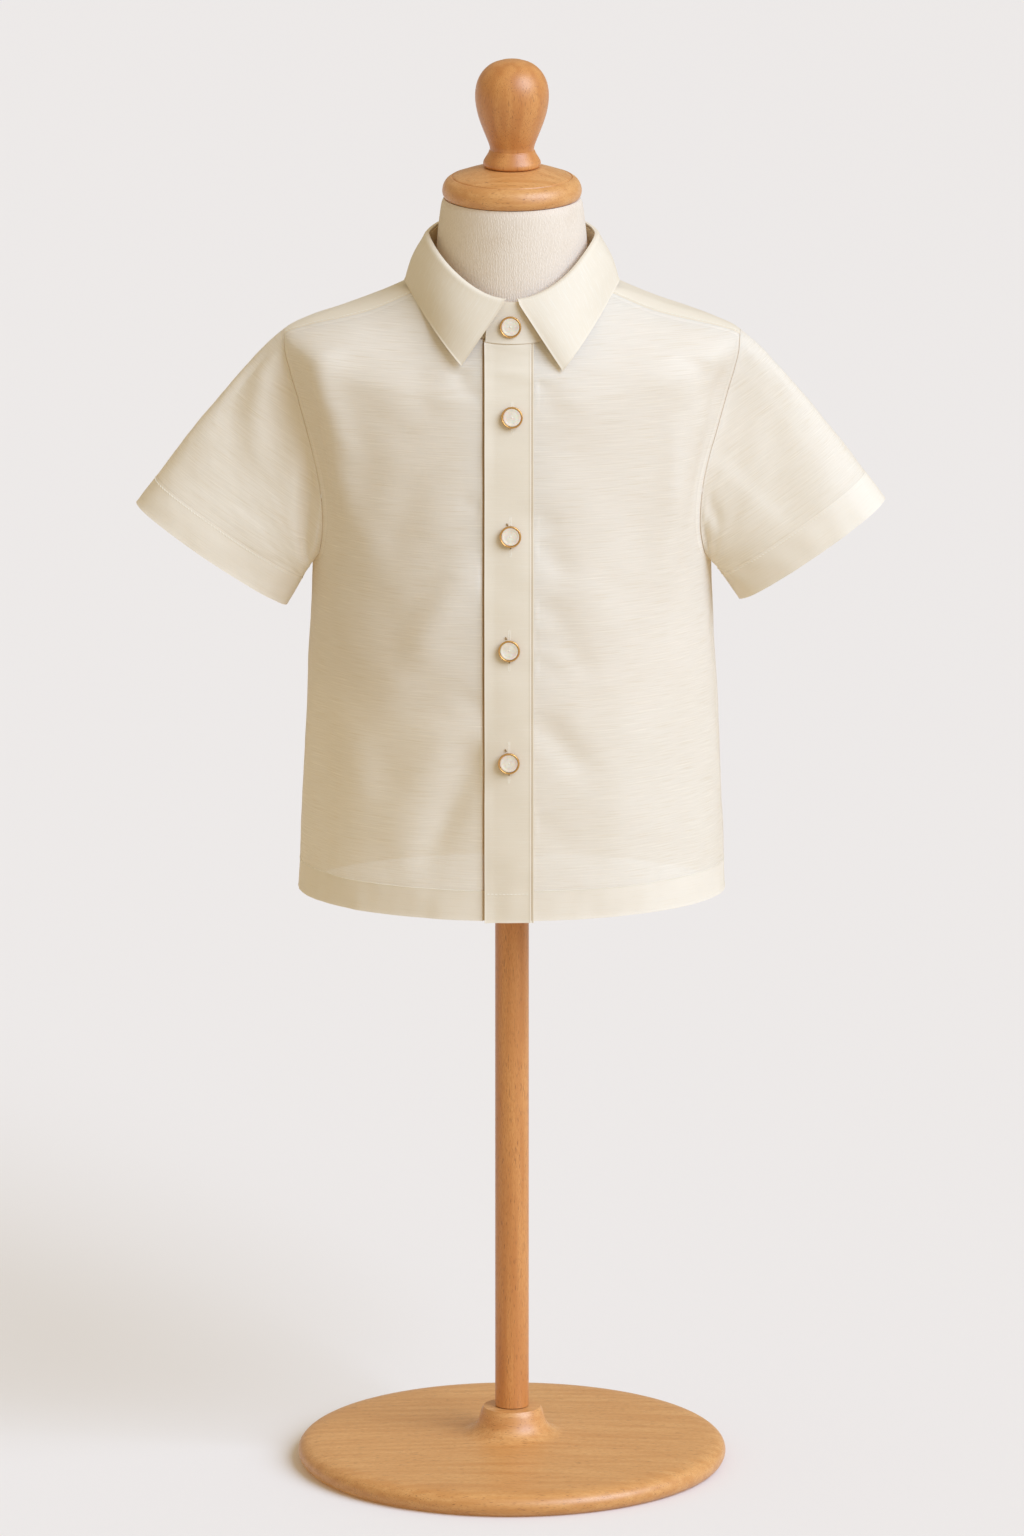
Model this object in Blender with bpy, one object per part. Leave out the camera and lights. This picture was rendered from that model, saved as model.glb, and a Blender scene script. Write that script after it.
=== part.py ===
"""A small child's short-sleeved barong shirt, buttoned up on a limbless dress form.

The frame is +Z up, with the shirt's front facing -Y and the wearer's left side at +X.
The origin is on the floor, under the form's pole. Sizes below are millimetres.

The shirt's body is one surface. `around` is the angle from the centre front, in degrees:
+90 is the wearer's left side, 180 the centre back. `level` is the distance up from the
hem, along the side and then along the shoulder to the neck. Each cloth piece is a patch
of that surface, given its own thickness and kept a seam's gap from its neighbours.
"""

import math
from bisect import bisect_right
from collections import namedtuple

import bmesh
import bpy
from mathutils import Vector

MM = 0.001

# Cloth
CLOTH = 1.0              # wall of a single layer
HEM_LAYER = 0.6          # what the turned-up hem adds, on the inside
HEM_DEPTH = 20.0
CUFF_HEM_DEPTH = 22.0
COLLAR_CLOTH = 1.3       # the collar is two layers with a stiffener
SEAM_GAP = 0.3
LAID_GAP = 0.4           # between a piece and the cloth that it lies on
HEM_STEP = 1.0           # height over which the hem's extra layer starts

# The body's outline, one row for each ring of the surface
Ring = namedtuple("Ring", "level side_height front_height back_height half_width front_depth back_depth")
BODY_RINGS = (
    Ring(0, 388, 388, 388, 138.8, 92, 87),
    Ring(80, 468, 468, 468, 135.4, 94.5, 84),
    Ring(155, 543, 542, 542, 131.8, 94.5, 80),
    Ring(221, 608, 606, 607, 129.2, 90, 78),
    Ring(280, 667, 661, 665, 133.5, 83, 77),
    Ring(330, 718.5, 702, 712, 143, 76, 74),
    Ring(350, 739.5, 716.5, 730, 148, 73.3, 71.2),
    Ring(363, 752, 725.5, 741.5, 149.8, 71.4, 68.8),
    Ring(372, 759.2, 730.5, 748.5, 147.2, 70, 67),
    Ring(386, 765.4, 736.5, 757.5, 135.5, 68.2, 64.5),
    Ring(400, 770.2, 742, 766, 122, 66.5, 62),
    Ring(430, 779.2, 752, 783, 93, 63, 57.5),
    Ring(468, 792, 764, 803, 57, 60, 53),
)
SIDE_CREASE = 1.05       # 1 is an ellipse, more is sharper at the side seams
FRONT_LEVELNESS = 3.0    # 2 is an even curve from the side to the front, more is flatter at the front
COLLAR_LEVELNESS = 2.0

LEVEL_ARMPIT = 221.0
LEVEL_TIP = 372.0        # the shoulder's end, where the sleeve's top is sewn
LEVEL_NECK = 468.0

# Armhole: how far its edge is from the side line, as angles, from the armpit (0) up to its top (180)
Armhole = namedtuple("Armhole", "turn front back")
ARMHOLE = (
    Armhole(0, 0, 0),
    Armhole(24, 14.0, 8.0),
    Armhole(42, 19.4, 14.6),
    Armhole(58, 22.2, 18.4),
    Armhole(76, 23.0, 19.2),
    Armhole(95, 21.0, 18.4),
    Armhole(118, 17.6, 17.0),
    Armhole(140, 15.2, 14.2),
    Armhole(160, 10.2, 9.2),
    Armhole(180, 0, 0),
)
ARMHOLE_FRONT_SEAM = 168.0   # the turn at which the front's yoke seam meets it
ARMHOLE_BACK_SEAM = 128.0
YOKE_FRONT_AT_NECK = 12.0    # angle of the front yoke seam ahead of the shoulder, at the neck
YOKE_FRONT_BOW = 6.5
YOKE_BACK_AT_NECK = 13.5

# Front opening
FRONT_EDGE = 12.2        # x of the line where the left front is joined to the placket
PLACKET_FREE_EDGE = -17.5
PLACKET_SEWN_EDGE = 14.0
PLACKET_DROP = 1.0       # how far the placket reaches below the hem
PLACKET_TOP = 465.0
PLACKET_COLUMNS = 4

# Soft folds of the body: a ridge (+) or a trough (-) from one place to another
Fold = namedtuple("Fold", "around_1 level_1 around_2 level_2 width rise")
BODY_FOLDS = (
    Fold(-71, 380, -64, 212, 10, -3.0),
    Fold(-56, 392, -50, 240, 12, 2.4),
    Fold(-5, 252, -49, 112, 14, 2.6),
    Fold(-47, 150, -46, -10, 15, 1.6),
    Fold(-6, 126, -29, 16, 9, -3.0),
    Fold(-66, 170, -63, -10, 14, -1.6),
    Fold(-76, 205, -79, 30, 12, 1.6),
    Fold(69, 378, 62, 218, 10, -3.0),
    Fold(45, 388, 66, 322, 10, -1.6),
    Fold(52, 352, 47, 180, 14, 2.6),
    Fold(5, 288, 19, 216, 10, -1.0),
    Fold(6, 198, 27, 158, 8, -1.4),
    Fold(5, 142, 24, 92, 9, -1.8),
    Fold(12, 240, 40, 176, 14, 1.4),
    Fold(34, 150, 27, -8, 14, 1.6),
    Fold(56, 150, 48, -8, 15, -1.6),
    Fold(74, 206, 78, 30, 13, 1.6),
    Fold(110, 338, 122, 186, 12, -3.4),
    Fold(-109, 340, -125, 180, 12, -3.2),
    Fold(130, 326, 141, 168, 15, 3.0),
    Fold(-129, 320, -144, 186, 14, 2.8),
    Fold(158, 210, 164, -8, 17, -3.4),
    Fold(-157, 194, -166, -8, 16, -3.2),
    Fold(138, 140, 147, -10, 15, 3.2),
    Fold(-136, 150, -146, -10, 15, 3.2),
    Fold(178, 270, 175, 50, 18, 2.6),
)
FOLD_RADIUS = 108.0      # turns an angle into a distance round the body
FOLD_FADE = 0.35         # the share of a fold's length over which each of its ends fades
FOLDS_FADE_FROM = 60.0   # below the neck, the folds fade out between these two distances
FOLDS_FADE_TO = 10.0

# Sleeves, worn without an arm: hem circle's centre, half sizes and the tilt of its face
Sleeve = namedtuple("Sleeve", "side centre_x centre_y centre_z half_length half_depth tilt head crown")
SLEEVES = (
    Sleeve(-1, 194.1, -3, 611.5, 58.9, 29, 34.4, 17, 4.5),
    Sleeve(1, 194.0, -3, 615.0, 57.4, 33, 34.8, 17, 4.5),
)
SLEEVE_FOLDS = (          # around the sleeve (0 underarm, 90 front, 180 top) and 0..1 along it
    Fold(122, -0.05, 100, 0.75, 9, -2.6),
    Fold(92, 0.0, 86, 1.1, 10, 2.6),
    Fold(50, -0.1, 56, 1.1, 10, -2.6),
    Fold(238, -0.05, 258, 0.80, 10, -2.6),
    Fold(292, 0.0, 282, 1.1, 11, 2.4),
)
SLEEVE_FOLD_RADIUS = 40.0
SLEEVE_FOLD_LENGTH = 90.0
SLEEVE_FOLD_START = 0.25  # the share of the sleeve over which its folds grow from the armhole
SLEEVE_LENGTH = 140.0    # along the top, from the armhole to the cuff
CUFF_FULLNESS = 0.85     # 1 is an ellipse, less is fuller at the front and the back
CUFF_PULL = 0.35         # the share of each line of the sleeve that leads straight out of the cuff
SEAM_PAST = 0.36         # how far past the body's edge the sleeve starts
SEAM_OUTSIDE = 0.48      # and how far outside it, where the sleeve folds back over the body
FOLD_BACK_FROM = 55.0    # angles between the sleeve and the body's cloth over which it changes
FOLD_BACK_TO = 105.0

# Collar
STAND_TOP = Ring(0, 821, 789.5, 829, 54.5, 56, 50)
STAND_OUTER_END = -16.0  # x of the buttoned-over end
STAND_INNER_END = 8.0
STAND_TUCK = COLLAR_CLOTH + 0.5
STAND_TUCK_FROM = 16.0   # angles ahead of the overlap over which the under end moves in
STAND_TUCK_TO = 42.0
LEAF_EDGE = Ring(0, 794.5, 734, 791, 70, 74.4, 61.8)
LEAF_END_RIGHT = 5.2     # |x| of the fold's ends at the centre front
LEAF_END_LEFT = 4.2
LEAF_TIP_ANGLE = 28.0
LEAF_ROLL = ((-1.0, 1.9), (0.7, 1.9), (2.0, 0.9), (2.5, -1.6))   # outwards from the stand, and above it
LEAF_BOW = 2.0
LEAF_EDGE_REACH = 1.8    # how far forward the leaf's straight outer edge stands at the front
LEAF_RIGHT_LIFT = 3.2    # the wearer's right point sits a little higher
LEAF_OUTWARD_RISE = 20.0  # upward part of the direction that counts as the leaf's outside

# Buttons
BUTTON_PROFILE = (       # half width and height: flat back, rolled rim, dished face
    (0.0, 0.0), (5.2, 0.0), (6.5, 1.0), (6.8, 1.8), (5.9, 2.8), (4.5, 2.3), (2.2, 1.9), (0.0, 1.9),
)
BUTTON_GAP = 0.35
BUTTON_HEIGHTS = (719.5, 643.0, 567.5, 492.0)
BUTTON_X = (-1.3, -2.3, -3.0, -3.2)
COLLAR_BUTTON = (0.0, 775.5)

# Dress form
Inset = namedtuple("Inset", "level side front_back top")
FORM_INSETS = (
    Inset(134, 17, 15, 0),
    Inset(175, 14, 12, 0),
    Inset(221, 12, 9.5, 0),
    Inset(280, 9, 7, 1.0),
    Inset(330, 7.5, 5.5, 1.6),
    Inset(372, 6.5, 4.5, 2.0),
    Inset(400, 5, 4, 2.4),
    Inset(424, 5, 4, 2.6),
)
FORM_LEVELS = (134, 145, 175, 210, 245, 280, 310, 335, 355, 372, 386, 402, 424)
FORM_BOTTOM_ROUNDING = ((0.0, 0.0), (5.0, 1.5), (10.0, 6.0))   # in from the side, and down
NECK_RINGS = (
    Ring(1, 785.5, 758, 788, 60, 54, 46.5),
    Ring(2, 792, 770, 795, 52.8, 50.8, 44.5),
    Ring(3, 805, 793, 808, 49.6, 48.2, 43.5),
    Ring(4, 825, 819, 828, 47.8, 46.3, 43),
    Ring(5, 841, 839, 842, 45.8, 44.4, 42),
    Ring(6, 846, 846, 846, 44.2, 42.8, 40.6),
)

# Turned wood and the stand: half width and height along each profile
CAP_PROFILE = (
    (0.0, 0.0), (42.6, 0.0), (44.0, 1.0), (44.9, 3.2), (45.0, 5.4), (44.2, 8.6), (42.4, 11.4),
    (39.6, 13.4), (38.2, 13.9), (30.0, 16.8), (21.0, 19.6), (18.8, 20.1), (0.0, 20.4),
)
KNOB_PROFILE = (
    (0.0, 0.0), (17.8, 0.0), (18.5, 0.9), (18.5, 3.0), (17.3, 5.4), (15.5, 8.2), (14.3, 11.4),
    (14.6, 13.6), (16.2, 18.0), (18.6, 24.0), (20.9, 30.2), (22.7, 36.8), (23.7, 43.4), (23.6, 50.0),
    (22.1, 56.4), (18.6, 62.4), (13.4, 66.8), (7.0, 69.2), (0.0, 69.8),
)
POLE_RADIUS = 11.0
BASE_PROFILE = (
    (0.0, 0.0), (134.0, 0.0), (138.0, 2.0), (140.0, 6.5), (138.6, 11.0), (134.0, 14.0), (122.0, 15.6),
    (34.0, 18.5), (27.0, 21.0), (22.5, 26.0), (20.0, 34.0), (18.6, 36.5), (0.0, 37.0),
)
WOOD_GAP = 0.3

# How finely the pieces are divided
BODY_ROWS = 8            # hem line to armpit
ARMHOLE_ROWS = 9
CROWDING = 1.3           # rows are closer together near the armpit and the armhole
SHOULDER_ROWS = 7
FRONT_COLUMNS = 11
BACK_COLUMNS = 20
YOKE_END_COLUMNS = 8
SLEEVE_ROWS = 6
STAND_ROWS = 2
STAND_COLUMNS = 58
LEAF_COLUMNS = 42
LEAF_ROWS = 4
BUTTON_SIDES = 20
POLE_SIDES = 24
KNOB_SIDES = 32
CAP_SIDES = 40
FORM_SIDES = 40
BASE_SIDES = 48
SHARP_ANGLE = 50.0       # degrees between two faces above which their edge is a hard one
NORMAL_STEP = 0.5
HALVINGS = 40

# Colour, roughness and metallic value of each material
Finish = namedtuple("Finish", "colour roughness metallic")
FINISHES = {
    "sheer_cloth": Finish((0.84, 0.77, 0.63), 0.55, 0.0),
    "collar_cloth": Finish((0.88, 0.82, 0.69), 0.55, 0.0),
    "shell_and_gilt": Finish((0.80, 0.62, 0.36), 0.30, 0.3),
    "form_cover": Finish((0.83, 0.75, 0.64), 0.85, 0.0),
    "beech": Finish((0.68, 0.42, 0.22), 0.38, 0.0),
}


def blend(low, high, share):
    return low + (high - low) * share


def eased(value, start, end):
    """0 before start, 1 after end, and smooth between them."""
    share = min(1.0, max(0.0, (value - start) / (end - start)))
    return share * share * (3 - 2 * share)


def smooth_row(rows, at):
    """The table's row at any value of its first column, on a smooth curve through its rows."""
    last = len(rows) - 1
    low = min(last - 1, max(0, bisect_right([row[0] for row in rows], at) - 1))
    before, start, end, after = (rows[min(last, max(0, low + step))] for step in (-1, 0, 1, 2))
    span = end[0] - start[0]
    share = (at - start[0]) / span
    values = []
    for v_before, v0, v1, v_after in zip(before, start, end, after):
        slope_0 = (v1 - v_before) / (end[0] - before[0]) * span
        slope_1 = (v_after - v0) / (after[0] - start[0]) * span
        bend_0 = share - 2 * share ** 2 + share ** 3
        bend_1 = share ** 3 - share ** 2
        rise = 3 * share ** 2 - 2 * share ** 3
        values.append(v0 + (v1 - v0) * rise + slope_0 * bend_0 + slope_1 * bend_1)
    return type(rows[0])(*values)


def signed_power(value, power):
    return math.copysign(abs(value) ** power, value)


def ring_point(ring, around, levelness=COLLAR_LEVELNESS):
    """The point of a ring at an angle from the centre front."""
    angle = math.radians(around)
    ahead = signed_power(math.cos(angle), SIDE_CREASE)
    depth = ring.front_depth if ahead > 0 else ring.back_depth
    end_height = ring.front_height if ahead > 0 else ring.back_height
    height = blend(end_height, ring.side_height, abs(math.sin(angle)) ** levelness)
    return Vector((ring.half_width * math.sin(angle), -depth * ahead, height))


def fold_rise(folds, around, level, around_scale, level_scale):
    """How far the folds lift the cloth at a place."""
    here = Vector((around * around_scale, level * level_scale))
    total = 0.0
    for fold in folds:
        start = Vector((fold.around_1 * around_scale, fold.level_1 * level_scale))
        along = Vector((fold.around_2 * around_scale, fold.level_2 * level_scale)) - start
        share = (here - start).dot(along) / along.length_squared
        distance = (here - start - along * share).length
        fade = eased(share, 0.0, FOLD_FADE) * eased(share, 1.0, 1.0 - FOLD_FADE)
        total += fold.rise * fade * math.exp(-(distance / fold.width) ** 2)
    return total


def wrapped(around):
    return (around + 180.0) % 360.0 - 180.0


def body_base(around, level):
    return ring_point(smooth_row(BODY_RINGS, level), around, FRONT_LEVELNESS)


def surface_normal(point_at, u, v, step_u, step_v):
    """The outward normal, where u turns anticlockwise seen from above and v goes up."""
    turn = point_at(u + step_u, v) - point_at(u - step_u, v)
    climb = point_at(u, v + step_v) - point_at(u, v - step_v)
    return turn.cross(climb).normalized()


def body_normal(around, level):
    level = min(LEVEL_NECK - NORMAL_STEP, max(NORMAL_STEP, level))
    return surface_normal(body_base, around, level, NORMAL_STEP, NORMAL_STEP)


def body_point(around, level, lift=0.0):
    """A point of the shirt's outer face, moved out by lift."""
    quiet = eased(level, LEVEL_NECK - FOLDS_FADE_TO, LEVEL_NECK - FOLDS_FADE_FROM)
    rise = fold_rise(BODY_FOLDS, wrapped(around), level, math.radians(FOLD_RADIUS), 1.0) * quiet
    return body_base(around, level) + body_normal(around, level) * (rise + lift)


def around_of_x(level, x):
    """The angle at which the front of the ring at this level reaches x."""
    return math.degrees(math.asin(x / smooth_row(BODY_RINGS, level).half_width))


def spread(first, last, count):
    return [blend(first, last, i / count) for i in range(count + 1)]


def crowded(first, last, count):
    """Values from first to last, closer together near the first."""
    return [blend(first, last, (i / count) ** CROWDING) for i in range(count + 1)]


def armhole(turn):
    """(angle ahead of the side line, level) round the armhole: 0 the armpit, 90 its front, 180 its top."""
    ahead = smooth_row(ARMHOLE, turn).front if turn < 180 else -smooth_row(ARMHOLE, 360 - turn).back
    middle = (LEVEL_ARMPIT + LEVEL_TIP) / 2
    half = (LEVEL_TIP - LEVEL_ARMPIT) / 2
    return ahead, middle - half * math.cos(math.radians(turn))


def armhole_turns():
    """Where the armhole's ring has its points, from the armpit round by the front."""
    front = crowded(0.0, ARMHOLE_FRONT_SEAM, ARMHOLE_ROWS)
    back_seam = 360 - ARMHOLE_BACK_SEAM
    top = spread(ARMHOLE_FRONT_SEAM, back_seam, YOKE_END_COLUMNS)[1:]
    back = crowded(360.0, back_seam, ARMHOLE_ROWS)[::-1][1:-1]
    return front, top, back


def yoke_front_angle(level):
    """How far ahead of the shoulder the yoke's front seam runs."""
    ahead, start = armhole(ARMHOLE_FRONT_SEAM)
    share = (level - start) / (LEVEL_NECK - start)
    return blend(ahead, YOKE_FRONT_AT_NECK, share) + YOKE_FRONT_BOW * math.sin(math.pi * share)


def hem_rows():
    """Levels from the hem to the armpit, with a step at the hem's stitching."""
    start = HEM_DEPTH + HEM_STEP
    return [0.0, HEM_DEPTH] + [blend(start, LEVEL_ARMPIT, i / BODY_ROWS) for i in range(BODY_ROWS + 1)]


def wall_at(level):
    return CLOTH + (HEM_LAYER if level <= HEM_DEPTH else 0.0)


def body_patch(rows):
    """Outer and inner grids of a patch, from rows of (around, level) places."""
    outer = [[body_point(around, level) for around, level in row] for row in rows]
    inner = [
        [body_point(around, level, -wall_at(level)) for around, level in row]
        for row in rows
    ]
    return outer, inner


def front_rows(side):
    """The (around, level) places of one front, row by row from the hem to the neck."""
    outer_edge = [(90.0, level) for level in hem_rows()]
    for turn in armhole_turns()[0][1:]:
        ahead, level = armhole(turn)
        outer_edge.append((90 - ahead, level))
    seam_start = outer_edge[-1][1]
    for level in crowded(seam_start, LEVEL_NECK, SHOULDER_ROWS)[1:]:
        outer_edge.append((90 - yoke_front_angle(level), level))
    rows = []
    for outer, level in outer_edge:
        inner = around_of_x(level, FRONT_EDGE)
        if side > 0:
            rows.append([(around, level) for around in spread(inner, outer, FRONT_COLUMNS)])
        else:
            rows.append([(around, level) for around in spread(-outer, inner, FRONT_COLUMNS)])
    return rows


def back_rows():
    edge = [(90.0, level) for level in hem_rows()]
    back_turns = [360.0] + armhole_turns()[2][::-1] + [360 - ARMHOLE_BACK_SEAM]
    for turn in back_turns[1:]:
        ahead, level = armhole(turn)
        edge.append((90 - ahead, level))
    return [
        [(around, level) for around in spread(start, 360 - start, BACK_COLUMNS)]
        for start, level in edge
    ]


def yoke_columns():
    """The yoke's columns, each from its outer edge to the neck, from the left front round the back."""
    top_turns = [ARMHOLE_FRONT_SEAM] + armhole_turns()[1]
    shares = crowded(0.0, 1.0, SHOULDER_ROWS)
    neck_start = 90 - YOKE_FRONT_AT_NECK
    neck_end = 90 + YOKE_BACK_AT_NECK
    left = []
    for i, turn in enumerate(top_turns):
        ahead, low = armhole(turn)
        share = i / YOKE_END_COLUMNS
        at_neck = blend(neck_start, neck_end, share)
        bow = YOKE_FRONT_BOW * (1 - share) ** 2
        left.append([
            (blend(90 - ahead, at_neck, t) - bow * math.sin(math.pi * t), blend(low, LEVEL_NECK, t))
            for t in shares
        ])
    back_start = 90 - armhole(360 - ARMHOLE_BACK_SEAM)[0]
    back = []
    for i in range(1, BACK_COLUMNS):
        low_around = blend(back_start, 360 - back_start, i / BACK_COLUMNS)
        at_neck = blend(neck_end, 360 - neck_end, i / BACK_COLUMNS)
        low = armhole(360 - ARMHOLE_BACK_SEAM)[1]
        back.append([(blend(low_around, at_neck, t), blend(low, LEVEL_NECK, t)) for t in shares])
    right = [[(360 - around, level) for around, level in column] for column in left[::-1]]
    return left + back + right


def trimmed(grid, closed=False):
    """The grid with its border drawn in by half a seam's gap."""
    rows, columns = len(grid), len(grid[0])
    made = [list(row) for row in grid]

    def drawn_in(edge, inside):
        return edge + (inside - edge).normalized() * SEAM_GAP / 2

    for c in range(columns):
        made[0][c] = drawn_in(grid[0][c], grid[1][c])
        made[-1][c] = drawn_in(grid[-1][c], grid[-2][c])
    if not closed:
        for r in range(rows):
            step_in = (grid[r][1] - grid[r][0]).normalized() * SEAM_GAP / 2
            step_out = (grid[r][-2] - grid[r][-1]).normalized() * SEAM_GAP / 2
            made[r][0] = made[r][0] + step_in
            made[r][-1] = made[r][-1] + step_out
    return made


def make_object(name, points, faces, finish):
    mesh = bpy.data.meshes.new(name)
    mesh.from_pydata([point * MM for point in points], [], faces)
    work = bmesh.new()
    work.from_mesh(mesh)
    bmesh.ops.recalc_face_normals(work, faces=work.faces)
    work.to_mesh(mesh)
    work.free()
    mesh.shade_smooth()
    mesh.set_sharp_from_angle(angle=math.radians(SHARP_ANGLE))
    mesh.materials.append(material(finish))
    made = bpy.data.objects.new(name, mesh)
    bpy.context.scene.collection.objects.link(made)
    return made


def material(finish):
    """The material of that name, made the first time that it is asked for."""
    found = bpy.data.materials.get(finish)
    if found:
        return found
    made = bpy.data.materials.new(finish)
    made.use_nodes = True
    shader = made.node_tree.nodes["Principled BSDF"]
    values = FINISHES[finish]
    shader.inputs["Base Color"].default_value = (*values.colour, 1.0)
    shader.inputs["Roughness"].default_value = values.roughness
    shader.inputs["Metallic"].default_value = values.metallic
    return made


def wall(name, outer, inner, finish, closed=False):
    """One closed solid between two grids. A closed grid joins its last column to its first."""
    rows, columns = len(outer), len(outer[0])
    points = [point for row in outer for point in row] + [point for row in inner for point in row]
    offset = rows * columns
    faces = []

    def corner(r, c):
        return r * columns + c % columns

    wide = columns if closed else columns - 1
    for r in range(rows - 1):
        for c in range(wide):
            a, b, d, e = corner(r, c), corner(r, c + 1), corner(r + 1, c + 1), corner(r + 1, c)
            faces.append((a, b, d, e))
            faces.append((offset + e, offset + d, offset + b, offset + a))
    for c in range(wide):
        a, b = corner(0, c), corner(0, c + 1)
        faces.append((b, a, offset + a, offset + b))
        a, b = corner(rows - 1, c), corner(rows - 1, c + 1)
        faces.append((a, b, offset + b, offset + a))
    if not closed:
        for r in range(rows - 1):
            a, b = corner(r, 0), corner(r + 1, 0)
            faces.append((a, b, offset + b, offset + a))
            a, b = corner(r, columns - 1), corner(r + 1, columns - 1)
            faces.append((b, a, offset + a, offset + b))
    return make_object(name, points, faces, finish)


def body_panel(name, rows):
    outer, inner = body_patch(rows)
    return wall(name, trimmed(outer), trimmed(inner), "sheer_cloth")


def make_body():
    body_panel("front_left", front_rows(1))
    body_panel("front_right", front_rows(-1))
    body_panel("back", back_rows())
    body_panel("yoke", yoke_columns())


def make_placket():
    """The strip down the front, moved out from the fronts that it lies on."""
    front_levels = [row[0][1] for row in front_rows(1)]
    levels = [-PLACKET_DROP] + [level for level in front_levels[1:] if level < PLACKET_TOP] + [PLACKET_TOP]
    outer, inner = [], []
    for level in levels:
        across = spread(PLACKET_FREE_EDGE, PLACKET_SEWN_EDGE, PLACKET_COLUMNS)
        turns = [around_of_x(level, x) for x in across]
        outer.append([body_point(turn, level, LAID_GAP + CLOTH) for turn in turns])
        inner.append([body_point(turn, level, LAID_GAP) for turn in turns])
    wall("placket", outer, inner, "collar_cloth")


def armhole_edge(side):
    """Points of the body's edge round the armhole, each with its normal and the way past the edge."""
    front, top, back = armhole_turns()
    edge = []
    for turn in front + top + back:
        ahead, level = armhole(turn)
        around = side * (90 - ahead)
        edge.append((body_point(around, level), body_normal(around, level)))
    middle = sum((point for point, _ in edge), Vector()) / len(edge)
    placed = []
    for i, (point, normal) in enumerate(edge):
        along = edge[(i + 1) % len(edge)][0] - edge[i - 1][0]
        out = along.cross(normal).normalized()
        if out.dot(middle - point) < 0:
            out.negate()
        placed.append((point, normal, out))
    return placed


def sleeve_grid(sleeve):
    """The sleeve's outer face, a row for each step from the armhole to the hem."""
    front, top, back = armhole_turns()
    turns = front + top + back
    tilt = math.radians(sleeve.tilt)
    centre = Vector((sleeve.side * sleeve.centre_x, sleeve.centre_y, sleeve.centre_z))
    upward = Vector((sleeve.side * math.cos(tilt), 0, math.sin(tilt)))
    outward = Vector((sleeve.side * math.sin(tilt), 0, -math.cos(tilt)))
    edge = armhole_edge(sleeve.side)
    shares = spread(0.0, 1.0, SLEEVE_ROWS)
    hem_share = 1 - CUFF_HEM_DEPTH / SLEEVE_LENGTH
    shares = [share for share in shares if share < hem_share - 0.5 / SLEEVE_ROWS]
    shares += [hem_share - HEM_STEP / SLEEVE_LENGTH, hem_share, 1.0]
    rows = []
    for share in shares:
        row = []
        for turn, (start, normal, out) in zip(turns, edge):
            angle = math.radians(turn)
            end = centre - upward * sleeve.half_length * math.cos(angle)
            end.y -= sleeve.half_depth * signed_power(math.sin(angle), CUFF_FULLNESS)
            topness = max(0.0, -math.cos(angle))
            handle = start + out * sleeve.head * topness ** 0.5 + normal * sleeve.crown * topness
            pull = end - outward * (end - start).length * CUFF_PULL
            back_share = 1 - share
            point = (
                start * back_share ** 3
                + handle * 3 * back_share ** 2 * share
                + pull * 3 * back_share * share ** 2
                + end * share ** 3
            )
            row.append(point)
        rows.append(row)
    return turns, shares, rows


def grid_normals(rows):
    """Outward normals of a closed grid whose columns go round and whose rows go along."""
    normals = []
    count = len(rows[0])
    for r, row in enumerate(rows):
        before, after = rows[max(0, r - 1)], rows[min(len(rows) - 1, r + 1)]
        middle = sum(row, Vector()) / count
        line = []
        for c in range(count):
            turn = row[(c + 1) % count] - row[c - 1]
            normal = turn.cross(after[c] - before[c]).normalized()
            if normal.dot(row[c] - middle) < 0:
                normal.negate()
            line.append(normal)
        normals.append(line)
    return normals


def make_sleeve(name, sleeve):
    turns, shares, rows = sleeve_grid(sleeve)
    normals = grid_normals(rows)
    outer, inner = [], []
    edge = armhole_edge(sleeve.side)
    for r, share in enumerate(shares):
        quiet = eased(share, 0.0, SLEEVE_FOLD_START)
        thick = CLOTH + (HEM_LAYER if r >= len(shares) - 2 else 0.0)
        outer_row, inner_row = [], []
        for c, turn in enumerate(turns):
            normal = normals[r][c]
            rise = fold_rise(
                SLEEVE_FOLDS, turn, share, math.radians(SLEEVE_FOLD_RADIUS), SLEEVE_FOLD_LENGTH,
            ) * quiet
            point = rows[r][c] + normal * rise
            if r == 0:
                _, body_out, out = edge[c]
                point = seam_start(point, out, body_out, normal, rows[1][c] - rows[0][c])
            outer_row.append(point)
            inner_row.append(point - normal * thick)
        outer.append(outer_row)
        inner.append(inner_row)
    wall(name, outer, inner, "sheer_cloth", closed=True)


def seam_start(point, out, body_normal_here, sleeve_normal, along):
    """Where the sleeve's wall starts: just past the body's edge, or outside it where it folds back."""
    fold_back = math.degrees(out.angle(along))
    outside = eased(fold_back, FOLD_BACK_FROM, FOLD_BACK_TO)
    past = SEAM_PAST + CLOTH * max(0.0, sleeve_normal.dot(out))
    return point + out * past * (1 - outside) + body_normal_here * SEAM_OUTSIDE * outside


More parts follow.
